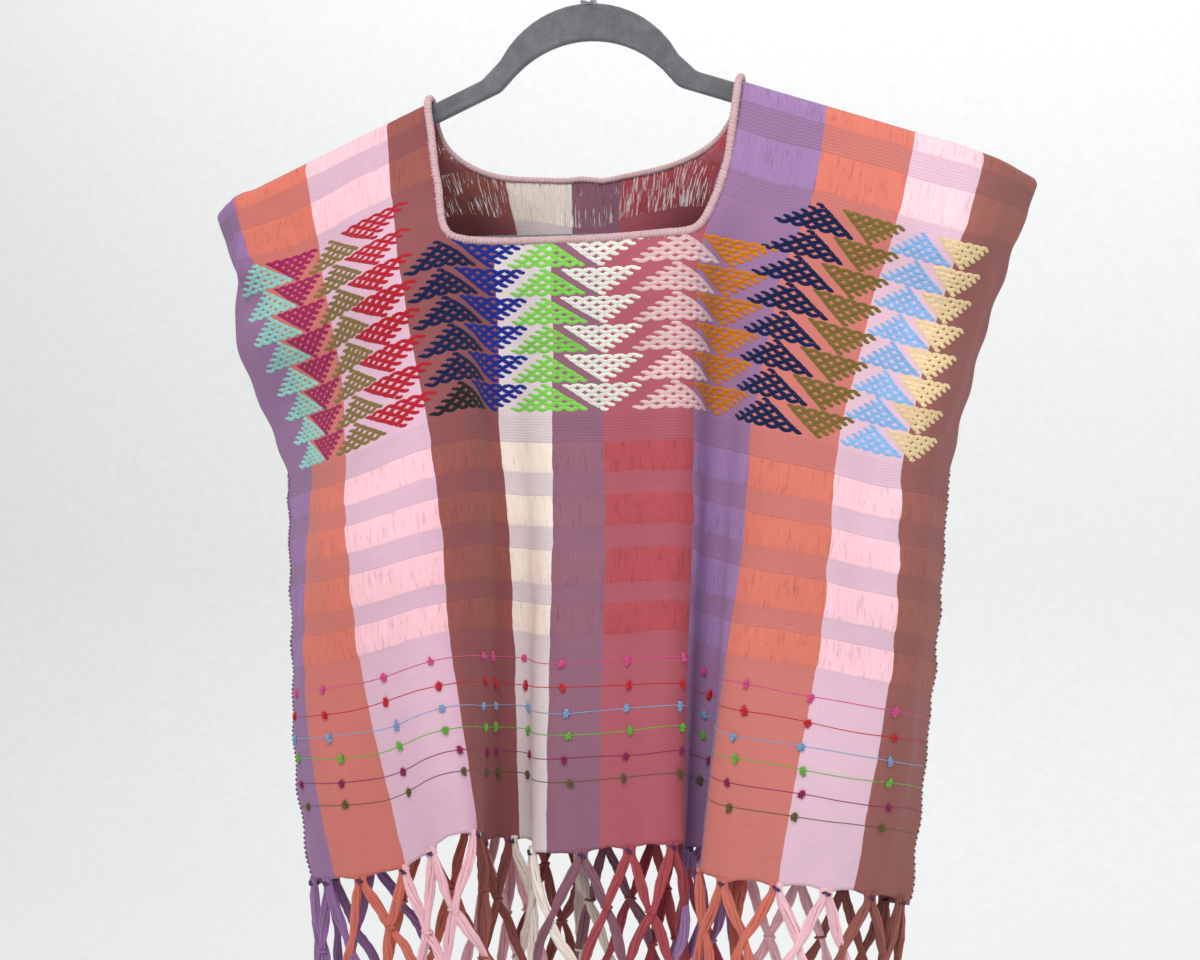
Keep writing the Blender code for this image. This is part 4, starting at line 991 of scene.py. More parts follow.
def make_brocade(side):
    """Triangles of bundled threads that part and meet round rows of small holes."""
    cloth = CLOTHS[side]
    names = list(YARNS)
    mats = [yarn_material("brocade_%s_%s" % (side, n), YARNS[n], 0.1, 2.6, 0.9, 0.0005) for n in names]
    out = Batch()
    r = np.random.default_rng(11 if side == "front" else 12)
    bend, height = 0.066, 0.060
    prof_a = np.radians([0, 55, 125, 180])
    px, py = np.cos(prof_a) * CM, np.sin(prof_a) / math.sin(math.radians(55)) * height * CM
    for num, (centre, yarn, way, rows, size) in enumerate(BROCADE, 1):
        if side == "back":
            rows = 6
        wave = WAVE * size
        width = 0.144 if yarn == "white" else 0.150
        teeth = -1 if way == "up" else 1                # the side with free ends
        for row in range(8 - rows, 8):
            v_top = ROW_TOP + row * ROW_PITCH
            if rows == 6 and side == "front":       # the middle starts lower down
                v_top = 8.30 + (row - 2) * 1.667
            dye = "black" if (num == 5 and row == 7) else yarn
            tint = r.uniform(-1, 1)
            uc = centre + r.uniform(-0.05, 0.05)
            jv = r.uniform(-0.02, 0.02)
            lean = r.uniform(-0.02, 0.02)
            edge_u, edge_v = [], []                     # turns along the smooth side
            for t in range(THREADS):
                step = t if way == "up" else THREADS - 1 - t
                v0 = v_top + 0.145 + 0.262 * t + jv
                l_edge = wave / 2 * (step + 1.08 + r.uniform(-0.06, 0.06))
                l_teeth = wave / 2 * (step + r.uniform(0.34, 0.54))
                if step == 0:
                    l_edge, l_teeth = wave / 2 * 0.95, wave / 2 * 0.40
                l0, l1 = (l_teeth, l_edge) if teeth < 0 else (l_edge, l_teeth)
                near = uc + np.array([-l0, 0.0, l1])
                if 5 <= num <= 10:                      # stop short of the bound neck
                    f, _, _ = neck_offset(near, np.full(3, v0), side)
                    if (f < (0.05 if abs(num - 7.5) < 2 else 0.20)).any():
                        continue
                n = max(6, int(round((l0 + l1) / (wave / 10.0))))
                s = np.linspace(-l0, l1, n + 1)
                u = uc + s
                keep = (u > 0.10) & (u < WEB_WIDTH - 0.10)
                if keep.sum() < 6:
                    continue
                u, s = u[keep], s[keep]
                way_t = -1.0 if t % 2 == 0 else 1.0
                # free ends stay where they leave the last hole
                free = np.where(s * teeth > wave / 2 * max(step, 0.4), teeth * wave / 2 * max(step, 0.4), s)
                a, b = peak(free, wave), peak(free - wave / 2, wave)
                c = a - b
                v = v0 + lean * s + way_t * bend * c
                v = v + 0.010 * wander(u, v, 50 + num + row, 1.3, 0.9, 3)
                P, N, T, D = cloth.frame(u, v)
                Tn = np.gradient(P, axis=0)
                Tn /= np.linalg.norm(Tn, axis=1, keepdims=True)
                B = np.cross(Tn, N)
                w = width * (1.0 - 0.28 * np.maximum(a, b)) * (1 + 0.04 * np.sin(s * 9.0 + t))
                left = s - s[0] + 0.02
                right = s[-1] - s + 0.02
                tap = np.minimum(1.0, np.minimum(left, right) / 0.14) ** 0.5
                tap = np.clip(tap, 0.34, 1.0)
                lift = 0.00012 + 0.00012 * way_t * c * tap
                P = P + N * lift[:, None]
                out.sweep(P, B, N, px, py, names.index(dye), closed=False,
                          tint=tint + r.uniform(-0.5, 0.5), taper=tap,
                          stretch=(w, np.ones_like(w)))
                end = -1 if teeth < 0 else 0
                edge_u.append(float(u[end]))
                edge_v.append(float(v[end]))
            if len(edge_u) < 3:
                continue
            order = np.argsort(edge_v)                  # thin thread up the smooth side
            eu, ev = np.array(edge_u)[order], np.array(edge_v)[order]
            q = np.linspace(ev[0] - 0.03, ev[-1] + 0.03, 4 * len(ev) + 1)
            u = np.interp(q, ev, eu) + 0.025 * np.cos((q - ev[0]) / 0.262 * 2 * math.pi) * -teeth
            P, N, T, D = cloth.frame(u, q)
            Tn = np.gradient(P, axis=0)
            Tn /= np.linalg.norm(Tn, axis=1, keepdims=True)
            out.sweep(P + N * 0.00022, np.cross(Tn, N), N, px * 0.058, py * 0.75,
                      names.index(dye), closed=False, tint=tint + r.uniform(-0.5, 0.5))
    return out.build("brocade_" + side, mats)


BROCADES = {s: make_brocade(s) for s in ("front", "back")}

# ------------------------------------------------------- weft lines with tufts
TUFT_LINES = (
    (32.8, "hot_pink", (226, 84, 150)), (34.3, "scarlet", (206, 30, 44)),
    (35.7, "pale_blue", (138, 172, 214)), (37.0, "leaf", (112, 186, 62)),
    (38.4, "plum", (150, 30, 92)), (39.7, "moss", (104, 92, 48)),
)
TUFT_U = (3.3, 7.25, 11.8, 15.2, 18.9, 20.2, 22.9, 26.5, 30.1, 33.5, 36.7, 41.3, 45.4, 50.4)


def make_tufts(side):
    """Thin weft lines, each with small oval tufts of its own yarn."""
    cloth = CLOTHS[side]
    mats = [yarn_material("tuft_%s_%s" % (side, n), c, 0.35) for _, n, c in TUFT_LINES]
    out = Batch()
    r = np.random.default_rng(31 if side == "front" else 32)
    a = np.radians([0, 60, 120, 180])
    lx, ly = 0.00027 * np.cos(a), 0.00028 * np.sin(a)
    sx, sy = ring_profile(0.00060, 5)
    strands = 22
    for row, (v0, _, _) in enumerate(TUFT_LINES):
        u = np.linspace(0.15, WEB_WIDTH - 0.15, 300)
        line = v0 + 0.05 * wander(u, u * 0, 60 + row, 9.0, 1.0)
        P, N, T, D = cloth.frame(u, line)
        out.sweep(P + N * 0.0003, np.cross(T, N), N, lx, ly, row, closed=False)
        for c in TUFT_U:
            uu = c + r.uniform(-0.3, 0.3) + 0.07 * (row - 2.5)
            if side == "back":
                uu = WEB_WIDTH - uu
            vv = float(np.interp(uu, u, line)) + r.uniform(-0.05, 0.05)
            P, N, T, D = (q[0] for q in cloth.frame(np.array([uu]), np.array([vv])))
            wide, tall = 0.0021 * r.uniform(0.82, 1.15), 0.0030 * r.uniform(0.85, 1.18)
            tilt = r.uniform(-0.35, 0.35)
            A = T * math.cos(tilt) + D * math.sin(tilt)
            B = D * math.cos(tilt) - T * math.sin(tilt)
            for q in range(strands):
                h = 0.12 + 0.88 * (q + 0.5) / strands            # golden spiral on a dome
                ang = q * 2.39996 + r.uniform(-0.25, 0.25)
                ring = math.sqrt(max(0.0, 1 - h * h))
                way = (A * wide * math.cos(ang) * ring + B * tall * math.sin(ang) * ring
                       + N * 0.0019 * h)
                way = way * r.uniform(0.80, 1.12)
                t = np.linspace(0.15, 1, 4)[:, None]
                path = P + N * 0.0004 + way * t + D * 0.0005 * t * t * r.uniform(0.2, 1.4)
                _, X, Y = axes(path[None], np.cross(way / np.linalg.norm(way), T + 0.3 * D) + 1e-6)
                out.sweep(path[None], X, Y, sx, sy, row, tint=r.uniform(-1.3, 1.3),
                          taper=np.array([0.8, 1.0, 1.0, 0.72]))
    return out.build("weft_tufts_" + side, mats)


TUFTS = {s: make_tufts(s) for s in ("front", "back")}


# ------------------------------------------------------------- bound neck
def neck_line(side, flip):
    """Dense line of the neck's edge, left to right (or back again)."""
    drop = DROPS[side]
    uc, half, k = (NECK_L + NECK_R) / 2, (NECK_R - NECK_L) / 2, SQUARE[side]
    a = np.linspace(0.0, math.pi, 4000)
    x = -half * np.sign(np.cos(a)) * np.abs(np.cos(a)) ** (2.0 / k)
    y = drop * np.abs(np.sin(a)) ** (2.0 / k)
    d = np.concatenate([[0], np.cumsum(np.hypot(np.diff(x), np.diff(y)))])
    t = np.linspace(0, d[-1], 700)
    u, v = uc + np.interp(t, d, x), np.interp(t, d, y)
    if flip:
        u, v = u[::-1], v[::-1]
    p, n = CLOTHS[side].at(u, v)
    lift = 0.0023 * (1 - ease((v - 0.8) / 4.0))
    uv = np.stack([u, v], -1)
    return (p + n * lift[:, None])[:-1], n[:-1], uv[:-1]


def smooth_ring(A, n):
    for _ in range(n):
        A = (np.roll(A, 1, 0) + 2 * A + np.roll(A, -1, 0)) / 4
    return A


def make_binding():
    pf, nf, _ = neck_line("front", False)
    pb, nb, _ = neck_line("back", True)
    P, N = np.concatenate([pf, pb]), np.concatenate([nf, nb])
    N = smooth_ring(N, 30)
    P = smooth_ring(P, 4)
    N /= np.linalg.norm(N, axis=1, keepdims=True)
    seg = np.linalg.norm(np.roll(P, -1, 0) - P, axis=1)
    d = np.concatenate([[0], np.cumsum(seg)])
    total = d[-1]
    n = int(total / 0.00045)
    t = np.arange(n) / n * total
    close = lambda A: np.concatenate([A, A[:1]])
    Q = np.stack([np.interp(t, d, close(P)[:, i]) for i in range(3)], -1)
    M = np.stack([np.interp(t, d, close(N)[:, i]) for i in range(3)], -1)
    T = np.roll(Q, -1, 0) - np.roll(Q, 1, 0)
    T /= np.linalg.norm(T, axis=1, keepdims=True)
    M -= T * np.sum(T * M, 1, keepdims=True)
    M /= np.linalg.norm(M, axis=1, keepdims=True)
    B = np.cross(T, M)
    sides = 14
    wraps = int(round(total / 0.0023))
    th = np.arange(sides) / sides * 2 * math.pi
    ph = (t / total * wraps)[:, None] + th[None] / (2 * math.pi)
    r = np.random.default_rng(41)
    uneven = r.uniform(-1, 1, wraps + 1)
    uneven[-1] = uneven[0]
    loose = np.interp((t / total * wraps), np.arange(wraps + 1), uneven)
    ridge = np.abs(np.sin(math.pi * ph)) ** 0.8
    behind_it = smooth_ring(np.concatenate([np.zeros(len(pf)), np.ones(len(pb))])[:, None], 400)[:, 0]
    slim = 1.0 - 0.22 * np.interp(t, d, np.append(behind_it, behind_it[0]))
    R = (0.00205 + 0.00034 * ridge + 0.00010 * loose[:, None]) * slim[:, None]
    V = Q[:, None] + R[..., None] * (np.cos(th)[None, :, None] * M[:, None] + np.sin(th)[None, :, None] * B[:, None])
    idx = np.arange(n * sides).reshape(n, sides)
    a, b = idx, np.roll(idx, -1, 1)
    F = np.stack([a, b, np.roll(b, -1, 0), np.roll(a, -1, 0)], -1).reshape(-1, 4)
    mat = yarn_material("binding_yarn", (201, 167, 171), 0.15)
    # random looseness of the wraps, plus painted highlight on the wraps' crowns and painted shade in the grooves
    # between them
    tint = np.repeat(loose, sides) * 0.6 + (ridge.ravel() - 0.7) * 2.6
    yarn = np.stack([np.broadcast_to(0.5 * np.cos(th), (n, sides)),
                     np.broadcast_to(t[:, None] / CM * 4.0, (n, sides)),
                     np.broadcast_to(0.25 * np.sin(th), (n, sides))], -1)
    return new_mesh("neck_edge", V.reshape(-1, 3), F, [mat], np.zeros(len(F)),
                    attrs={"tint": tint, "strand": yarn.reshape(-1, 3)})


NECK_EDGE = make_binding()


def make_bites():
    """Short stitches that fasten the bound edge to the web."""
    out = Batch()
    a = np.radians([0, 60, 120, 180])
    px, py = 0.00034 * np.cos(a), 0.00034 * np.sin(a)
    r = np.random.default_rng(43)
    for side in ("front", "back"):
        _, _, uv = neck_line(side, False)
        d = np.concatenate([[0], np.cumsum(np.hypot(*np.diff(uv, axis=0).T))])
        t = np.arange(0.3, d[-1] - 0.3, 0.46)
        u, v = np.interp(t, d, uv[:, 0]), np.interp(t, d, uv[:, 1])
        f, gx, gy = neck_offset(u, v, side)
        for i in range(len(t)):
            q = np.linspace(0.12, 0.27 + r.uniform(-0.04, 0.07), 4)
            lean = 0.16 * (q - q[0])
            us = u[i] + gx[i] * q - gy[i] * lean
            vs = v[i] + gy[i] * q + gx[i] * lean
            P, N, _, _ = CLOTHS[side].frame(us, np.maximum(vs, 0))
            lift = 0.0014 * (1 - ease((vs - 0.8) / 4.0)) * (1 - (q - q[0]) / 0.3)
            P = P + N * (0.0002 + np.maximum(lift, 0))[:, None]
            T = np.gradient(P, axis=0)
            T /= np.linalg.norm(T, axis=1, keepdims=True)
            out.sweep(P, np.cross(T, N), N, px, py, 0, closed=False, tint=r.uniform(-1, 1),
                      taper=np.array([1, 1, 0.9, 0.5]))
    return out.build("neck_stitches", [yarn_material("stitch_yarn", (228, 196, 196), 0.12)])


NECK_BITES = make_bites()


# ------------------------------------------------------------- whipped sides
def make_side(name, edge):
    """Slanting whip stitches over the two selvedges, the cloth swelling between."""
    cf, cb = CLOTHS["front"], CLOTHS["back"]
    dye = DYES[0][2] if edge == 0 else DYES[-1][2]
    fine = edge == 0                       # closer, flatter work on this side
    mats = [yarn_material(name + "_thread", (166, 132, 160) if fine else (214, 190, 186), 0.1),
            yarn_material(name + "_edge", dye, 0.1, 3.0, 2.0)]
    out = Batch()
    r = np.random.default_rng(51 if edge == 0 else 52)
    pitch = 0.27 if fine else 0.39
    for i, v0 in enumerate(np.arange(ARMHOLE - 0.2, WEB_LENGTH - 0.25, pitch / 2)):
        swell = i % 2
        q = np.linspace(-0.6, 0.6, 9)
        slant = 0.10 if swell else 0.30
        vv = np.full(9, v0) + slant * q + r.uniform(-0.025, 0.025)
        pf, nf, tf, _ = cf.frame(np.full(9, edge), vv)
        pb, nb, tb, _ = cb.frame(np.full(9, edge), vv)
        out_way = -tf if edge == 0 else tf
        mid = (pf + pb) / 2
        half = np.linalg.norm(pf - pb, axis=1)[:, None] / 2
        fwd = (pf - pb) / np.maximum(2 * half, 1e-6)
        ang = q / 0.6 * math.radians(118 if swell else 150)
        rad = np.maximum(half + 0.0006, 0.0013)
        bulge = (0.0009 if swell else 0.0007) if fine else (0.0009 if swell else 0.0013)
        # from the front face, round the two selvedges, to the back face
        path = (mid + out_way * ((0.0 if swell else 0.0002) + bulge * np.cos(ang)[:, None])
                + fwd * rad * np.sin(-ang)[:, None])
        _, X, Y = axes(path[None], out_way[None] * 0.5 + np.array([0, 0, 1.0]))
        if swell:
            px, py = ring_profile(0.00142 if fine else 0.00130, 6, 0.00135 if fine else 0.00105)
            tap = np.array([0.35, 0.7, 0.9, 1.0, 1.0, 1.0, 0.9, 0.7, 0.35])
        else:
            px, py = ring_profile(0.00036 if fine else 0.00052, 5)
            tap = np.array([0.6] + [1.0] * 7 + [0.6])
        out.sweep(path[None], X, Y, px, py, swell, tint=r.uniform(-1, 1), taper=tap)
    return out.build(name, mats)


SIDE_L = make_side("side_whip_left", 0.0)
SIDE_R = make_side("side_whip_right", WEB_WIDTH)


# ------------------------------------------------------------------ net fringe
NET_LEVEL = 3.3                 # cm from one row of knots to the next


def make_fringe(side):
    cloth = CLOTHS[side]
    mats = [yarn_material("fringe_%s_%s" % (side, d[0]), d[1], 0.18) for d in DYES]
    mats.append(yarn_material("fringe_tie_" + side, (92, 62, 104), 0.1))
    out = Batch()
    r = np.random.default_rng(61 if side == "front" else 62)
    A = ANCHORS[side]
    uu = np.linspace(0, WEB_WIDTH, 220)
    hem, n, _, _ = cloth.frame(uu, np.full_like(uu, WEB_LENGTH))
    above, _ = cloth.at(uu, np.full_like(uu, WEB_LENGTH - 3.0))
    nh = n * np.array([1, 1, 0.0])
    nh /= np.linalg.norm(nh, axis=1, keepdims=True)
    lean = (hem - above) / CM / 3.0 * np.array([1, 1, 0.0])
    for _ in range(25):
        nh[1:-1] = (nh[:-2] + 2 * nh[1:-1] + nh[2:]) / 4
        lean[1:-1] = (lean[:-2] + 2 * lean[1:-1] + lean[2:]) / 4
    nh /= np.linalg.norm(nh, axis=1, keepdims=True)
    side_in = 1.0 - ease(np.minimum(uu, WEB_WIDTH - uu) / 4.0)

    def hang(u, s, off):
        """Point s cm below the hem at u; off is its stand off in metres."""
        pick = lambda A: np.stack([np.interp(u, uu, A[:, i]) for i in range(A.shape[1])], -1)
        h, m, l = pick(hem), pick(nh), pick(lean)
        e = np.interp(u, uu, side_in)
        return (h + 0.35 * l * (s * CM)[:, None] - np.array([0, 0, 1.0]) * (s * CM)[:, None]
                + m * (off + 0.0016 * e)[:, None])

    # knots: rows of places, each between two of the row above
    mess = lambda u: 1.0 + 1.6 * ease((24.0 - u) / 8.0) if side == "front" else 1.2
    rows = [A]
    for lev in range(1, 4):
        up = rows[-1]
        if lev % 2:
            cur = (up[:-1] + up[1:]) / 2
        else:
            cur = np.concatenate([[A[0]], (up[:-1] + up[1:]) / 2, [A[-1]]])
        cur = cur + np.array([r.uniform(-0.22, 0.22) * mess(c) for c in cur])
        cur = np.clip(cur, 0.55, WEB_WIDTH - 0.55)
        rows.append(cur)
    depth = []
    for lev, row in enumerate(rows):
        depth.append(np.array([0.02 if lev == 0 else lev * NET_LEVEL + r.uniform(-0.32, 0.32) * mess(c)
                               for c in row]))

    def strand(pts, dye, front):
        """Bundle of yarns through (u, depth, stand off) points."""
        pts = np.array(pts, float)
        d = np.concatenate([[0], np.cumsum(np.hypot(np.diff(pts[:, 0]), np.diff(pts[:, 1])))])
        m = max(6, int(d[-1] / 0.33))
        t = np.linspace(0, d[-1], m)
        c = [np.interp(t, d, pts[:, i]) for i in range(3)]
        for q in range(3):                      # soft turns at the knots
            for _ in range(2):
                c[q][1:-1] = (c[q][:-2] + 2 * c[q][1:-1] + c[q][2:]) / 4
        wob = r.uniform(0, 6.28, 3)
        c[0] = c[0] + 0.07 * np.sin(t * 1.9 + wob[0]) * np.sin(np.pi * np.clip(t / d[-1], 0, 1))
        P = hang(c[0], c[1], c[2])
        T, X, Y = axes(P[None], np.array([0, -1.0 if side == "front" else 1.0, 0.15]))
        T, X, Y = T[0], X[0], Y[0]
        # distance from the nearest knot squeezes the bundle
        kd = np.min(np.abs(c[1][:, None] - np.array([0.0] + [NET_LEVEL * q for q in (1, 2, 3)])[None]), 1)
        spread = 0.50 + 0.50 * ease(kd / 1.1)
        free = ease((c[1] - 10.0) / 1.4)
        spread = spread + 0.35 * free
        plies = 6
        turn = r.uniform(0, 6.28)
        twist = r.uniform(0.25, 0.55) * r.choice([-1, 1])
        sx, sy = ring_profile(0.00112, 5)
        for p in range(plies):
            a = turn + p / plies * 2 * math.pi + twist * t
            if p == plies - 1:
                ox, oy = 0.0004 * np.cos(a), 0.0004 * np.sin(a)
            else:
                ox, oy = 0.00092 * np.cos(a), 0.00215 * np.sin(a)
            fray = free * 0.0016
            path = (P + X * ((ox + fray * math.cos(p * 2.1)) * spread)[:, None]
                    + Y * ((oy + fray * math.sin(p * 1.3 + 1)) * spread)[:, None])
            cut = r.uniform(0.0, 0.35) if c[1][-1] > 11 else 0.0
            if cut:
                path[-1] = path[-1] + (path[-2] - path[-1]) * min(0.95, cut / 0.33)
            path = path + r.normal(0, 0.00012, path.shape)
            _, X1, Y1 = axes(path[None], np.array([0, -1.0, 0.2]))
            tap = np.ones(m)
            tap[-1] = 0.75
            out.sweep(path[None], X1, Y1, sx, sy, dye, tint=r.uniform(-1, 1), taper=tap)

    # Each tied end divides in two; at every knot two bundles meet and cross.
    n0 = len(A)
    for i in range(n0):
        for way in (-1, 1):
            dye = stripe_of(np.clip(A[i] + 0.7 * way, 0.1, WEB_WIDTH - 0.1))
            over = 1.0 if way < 0 else -1.0
            pts = [(A[i] + 0.22 * way, -0.28, 0.0), (A[i] + 0.05 * way, 0.12, 0.0)]
            pos, heading = i, way
            prev = A[i]
            for lev in range(1, 4):
                if lev % 2:
                    j = pos + (0 if heading > 0 else -1)
                    if j < 0 or j > n0 - 2:
                        # at the selvedge the bundle runs straight down
                        pts.append((prev, depth[lev - 1][pos] + NET_LEVEL, 0.0))
                        nxt_pos, nxt_u = None, prev
                    else:
                        k_u, k_s = rows[lev][j], depth[lev][j]
                        pts += [(k_u - 0.16 * heading, k_s - 0.30, 0.0006 * over),
                                (k_u, k_s, 0.0012 * over),
                                (k_u + 0.12 * heading, k_s + 0.30, 0.0006 * over)]
                        nxt_pos = j
                        prev = k_u
                    if nxt_pos is None:
                        heading = -heading
                        continue
                    pos = nxt_pos
                else:
                    j = pos + (1 if heading > 0 else 0)
                    if pts[-1][0] == prev and len(pts) and (pts[-1][2] == 0.0) and lev == 2 and abs(prev - A[i]) < 1e-9:
                        j = i
                    j = int(np.clip(j, 0, len(rows[lev]) - 1))
                    k_u, k_s = rows[lev][j], depth[lev][j]
                    pts += [(k_u - 0.16 * heading, k_s - 0.30, -0.0006 * over),
                            (k_u, k_s, -0.0012 * over),
                            (k_u + 0.12 * heading, k_s + 0.30, -0.0006 * over)]
                    pos, prev = j, k_u
            end = FRINGE_REACH - 0.25 + r.uniform(-0.5, 0.15)
            pts.append((prev + 0.35 * heading + r.uniform(-0.2, 0.2), end, 0.0))
            pts[0] = (np.clip(pts[0][0], 0.1, WEB_WIDTH - 0.1), pts[0][1], pts[0][2])
            pts = [(float(np.clip(a, 0.25, WEB_WIDTH - 0.25)), b, c) for a, b, c in pts]
            # keep the depths in order
            for q in range(1, len(pts)):
                if pts[q][1] < pts[q - 1][1] + 0.1:
                    pts[q] = (pts[q][0], pts[q - 1][1] + 0.1, pts[q][2])
            strand(pts, dye, over > 0)
    # knots: one turn of yarn round the crossing
    kx, ky = ring_profile(0.00085, 5)
    for lev in range(0, 4):
        for j, (ku, ks) in enumerate(zip(rows[lev], depth[lev])):
            if lev == 0:
                rr, turns, dye, drop, rad_w = 0.0018, 1, 11, 0.05, 0.0021
            else:
                if r.uniform() > 0.42:
                    continue
                rr, turns, dye, drop, rad_w = 0.0026, 1, stripe_of(np.clip(ku + r.uniform(-0.3, 0.3), 0.1, 54.6)), ks, 0.0030
            tt = np.linspace(0, turns * 2 * math.pi, 10 * turns + 1)
            c0 = hang(np.array([ku]), np.array([drop]), np.array([0.0]))[0]
            m = np.stack([np.interp(ku, uu, nh[:, i]) for i in range(3)])
            w = np.cross(m, np.array([0, 0, 1.0]))
            w /= np.linalg.norm(w)
            slope = r.uniform(-0.5, 0.5)
            path = (c0 + m * (0.0027 * np.cos(tt))[:, None] + w * (rad_w * np.sin(tt))[:, None]
                    + np.array([0, 0, 1.0]) * ((0.5 - tt / tt[-1]) * 0.0026 * turns / 2 + slope * 0.0015 * np.sin(tt))[:, None])
            _, X, Y = axes(path[None], np.array([0, 0, 1.0]))
            out.sweep(path[None], X, Y, kx, ky, dye, tint=r.uniform(-1, 1))
            if lev == 0:                         # the tie's two short ends
                for q in (-1, 1):
                    tail = c0 + m * 0.0021 + np.linspace(0, 1, 4)[:, None] * (
                        w * 0.0015 * q + np.array([0, 0, 0.0012 * r.uniform(0.2, 1.4)]) + m * 0.0003)
                    _, X, Y = axes(tail[None], m)
                    out.sweep(tail[None], X, Y, kx * 0.6, ky * 0.6, dye, tint=r.uniform(-1, 1))
    return out.build("net_fringe_" + side, mats)


FRINGES = {s: make_fringe(s) for s in ("front", "back")}


# ------------------------------------------------------------------ hanger
def flock_material():
    k = Nodes("flock_velvet")
    tc = k.node("ShaderNodeTexCoord")
    fine = k.noise(tc.outputs["Object"], 1400.0, 2.0, 0.6)
    mid = k.noise(tc.outputs["Object"], 120.0, 3.0, 0.55)
    wide = k.noise(tc.outputs["Object"], 14.0, 2.0)
    f = k.math("ADD", k.math("MULTIPLY", fine, 0.45), k.math("ADD", k.math("MULTIPLY", mid, 0.35), k.math("MULTIPLY", wide, 0.25)))
    k.link(k.ramp(f, [(0.30, lin((80, 80, 84))), (0.55, lin((107, 107, 111))), (0.80, lin((133, 134, 138)))]), k.b.inputs["Base Color"])
    k.link(k.bump(fine, 0.0004, 0.6), k.b.inputs["Normal"])
    k.b.inputs["Roughness"].default_value = 0.95
    k.b.inputs["Sheen Weight"].default_value = 0.6
    k.b.inputs["Sheen Roughness"].default_value = 0.35
    k.b.inputs["Specular IOR Level"].default_value = 0.1
    return k.mat


def steel_material():
    k = Nodes("hook_steel")
    tc = k.node("ShaderNodeTexCoord")
    n = k.noise(tc.outputs["Object"], 260.0, 3.0)
    k.link(k.ramp(n, [(0.3, lin((176, 178, 182))), (0.7, lin((206, 207, 210)))]), k.b.inputs["Base Color"])
    k.link(k.span(n, 0.3, 0.8, 0.20, 0.34), k.b.inputs["Roughness"])
    k.link(k.bump(n, 0.0001, 0.15), k.b.inputs["Normal"])
    k.b.inputs["Metallic"].default_value = 1.0
    return k.mat


FLOCK, STEEL = flock_material(), steel_material()
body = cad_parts["hanger_body"]
body.data.materials.clear()
body.data.materials.append(FLOCK)
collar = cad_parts["hook_collar"]
collar.data.materials.clear()
collar.data.materials.append(STEEL)


def make_hook():
    zc = HOOK_WIRE_R - HOOK_BEND_R
    foot = CREST_TOP + 0.0004 + HOOK_COLLAR_H
    wire = [(0.0, 0.0, z) for z in np.linspace(foot + 0.0002, zc - HOOK_BEND_R - 0.006, 5)]
    for q in range(1, 34):
        a = math.radians(-90) + math.radians(HOOK_TAIL_DEG + 60) * q / 33
        wire.append((HOOK_BEND_R * math.cos(a), 0.0, zc + HOOK_BEND_R * math.sin(a)))
    wire = np.array(wire)
    for _ in range(2):
        wire[3:8] = (wire[2:7] + 2 * wire[3:8] + wire[4:9]) / 4
    d = np.concatenate([[0], np.cumsum(np.linalg.norm(np.diff(wire, axis=0), axis=1))])
    t = np.linspace(0, d[-1], 140)
    P = np.stack([np.interp(t, d, wire[:, i]) for i in range(3)], -1)
    for _ in range(6):
        P[1:-1] = (P[:-2] + 2 * P[1:-1] + P[2:]) / 4
    _, X, Y = axes(P[None], np.array([0, 1.0, 0]))
    out = Batch()
    px, py = ring_profile(HOOK_WIRE_R, 20)
    tap = np.ones(140)
    tap[-4:] = (0.97, 0.88, 0.68, 0.35)
    out.sweep(P[None], X, Y, px, py, 0, taper=tap)
    return out.build("hook_wire", [STEEL])


HOOK = make_hook()

# ------------------------------------------------------------- who is who
for s in ("front", "back"):
    web = WEBS[s]
    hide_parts("web_" + s)
    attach(web, "root")
    for ob, slot_name in ((BROCADES[s], "web"), (TUFTS[s], "web"), (FRINGES[s], "fringe")):
        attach(ob, "root")
    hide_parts("fringe_" + s)
for ob, node, slot_name in ((NECK_EDGE, "neck_binding", "binding"), (SIDE_L, "side_join_left", "join"),
                            (SIDE_R, "side_join_right", "join"), (HOOK, "hook", "steel")):
    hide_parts(node)
    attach(ob, "root")
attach(NECK_BITES, "root")


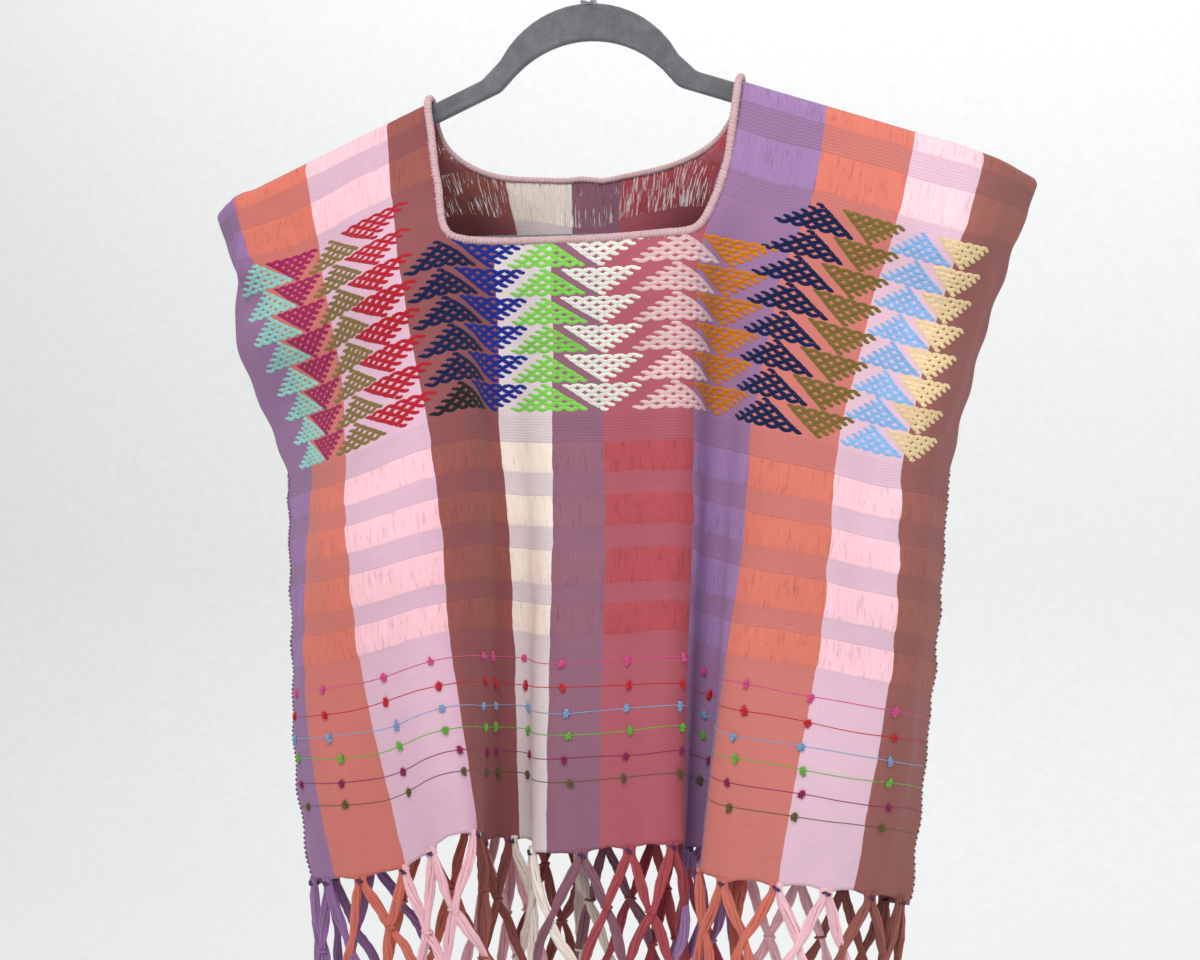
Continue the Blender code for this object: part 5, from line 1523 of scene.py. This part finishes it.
# ------------------------------------------------------------------- studio
def backdrop():
    prof = [(-2.6, -1.02)]
    for q in np.linspace(0, math.pi / 2, 24):
        prof.append((2.5 + 0.5 * math.sin(q), -0.52 - 0.5 * math.cos(q)))
    prof.append((3.0, 2.6))
    verts, faces = [], []
    for x in (-4.0, 4.0):
        verts += [(x, y, z) for y, z in prof]
    m = len(prof)
    for i in range(m - 1):
        faces.append((i, i + 1, m + i + 1, m + i))
    k = Nodes("studio_paper")
    tc = k.node("ShaderNodeTexCoord")
    n = k.noise(tc.outputs["Object"], 60.0, 4.0, 0.6)
    k.link(k.ramp(n, [(0.3, (0.86, 0.86, 0.855)), (0.7, (0.90, 0.90, 0.895))]), k.b.inputs["Base Color"])
    k.link(k.bump(n, 0.002, 0.12), k.b.inputs["Normal"])
    k.b.inputs["Roughness"].default_value = 0.95
    ob = new_mesh("studio_backdrop", verts, np.array(faces), [k.mat])


backdrop()


def area_light(name, loc, target, size, power, colour):
    d = bpy.data.lights.new(name, "AREA")
    d.shape = "RECTANGLE"
    d.size, d.size_y = size
    d.energy = power
    d.color = colour
    ob = bpy.data.objects.new(name, d)
    bpy.context.scene.collection.objects.link(ob)
    ob.location = loc
    from mathutils import Vector
    ob.rotation_mode = "QUATERNION"
    ob.rotation_quaternion = (Vector(target) - Vector(loc)).to_track_quat("-Z", "Y")
    return ob


area_light("key", (-0.55, -1.95, 1.0), (0.0, 0.0, -0.35), (1.5, 1.5), 21.5, (1.0, 0.99, 0.975))
area_light("side", (1.9, -0.45, 0.35), (0.1, 0.0, -0.4), (0.9, 1.6), 8.0, (0.97, 0.985, 1.0))
area_light("neck_fill", (0.05, -0.75, 0.45), (0.0, 0.05, -0.18), (0.35, 0.35), 3.6, (1.0, 0.99, 0.98))
area_light("wall_wash", (0.0, 1.95, 1.5), (0.1, 3.0, -0.5), (3.8, 0.5), 24.0, (1.0, 1.0, 1.0))

world = bpy.data.worlds.new("studio")
bpy.context.scene.world = world
world.use_nodes = True
world.node_tree.nodes["Background"].inputs[0].default_value = (0.96, 0.98, 1.0, 1.0)
world.node_tree.nodes["Background"].inputs[1].default_value = 0.58

bpy.context.scene.view_settings.view_transform = "Standard"

cam_data = bpy.data.cameras.new("camera")
cam_data.lens = 78.0
cam_data.sensor_width = 36.0
cam_data.sensor_fit = "HORIZONTAL"
cam_data.clip_start, cam_data.clip_end = 0.05, 30.0
cam = bpy.data.objects.new("camera", cam_data)
bpy.context.scene.collection.objects.link(cam)
cam.location = (0.370, -1.457, -0.3554)
cam.rotation_euler = (math.radians(90), 0.0, math.radians(14))
bpy.context.scene.camera = cam
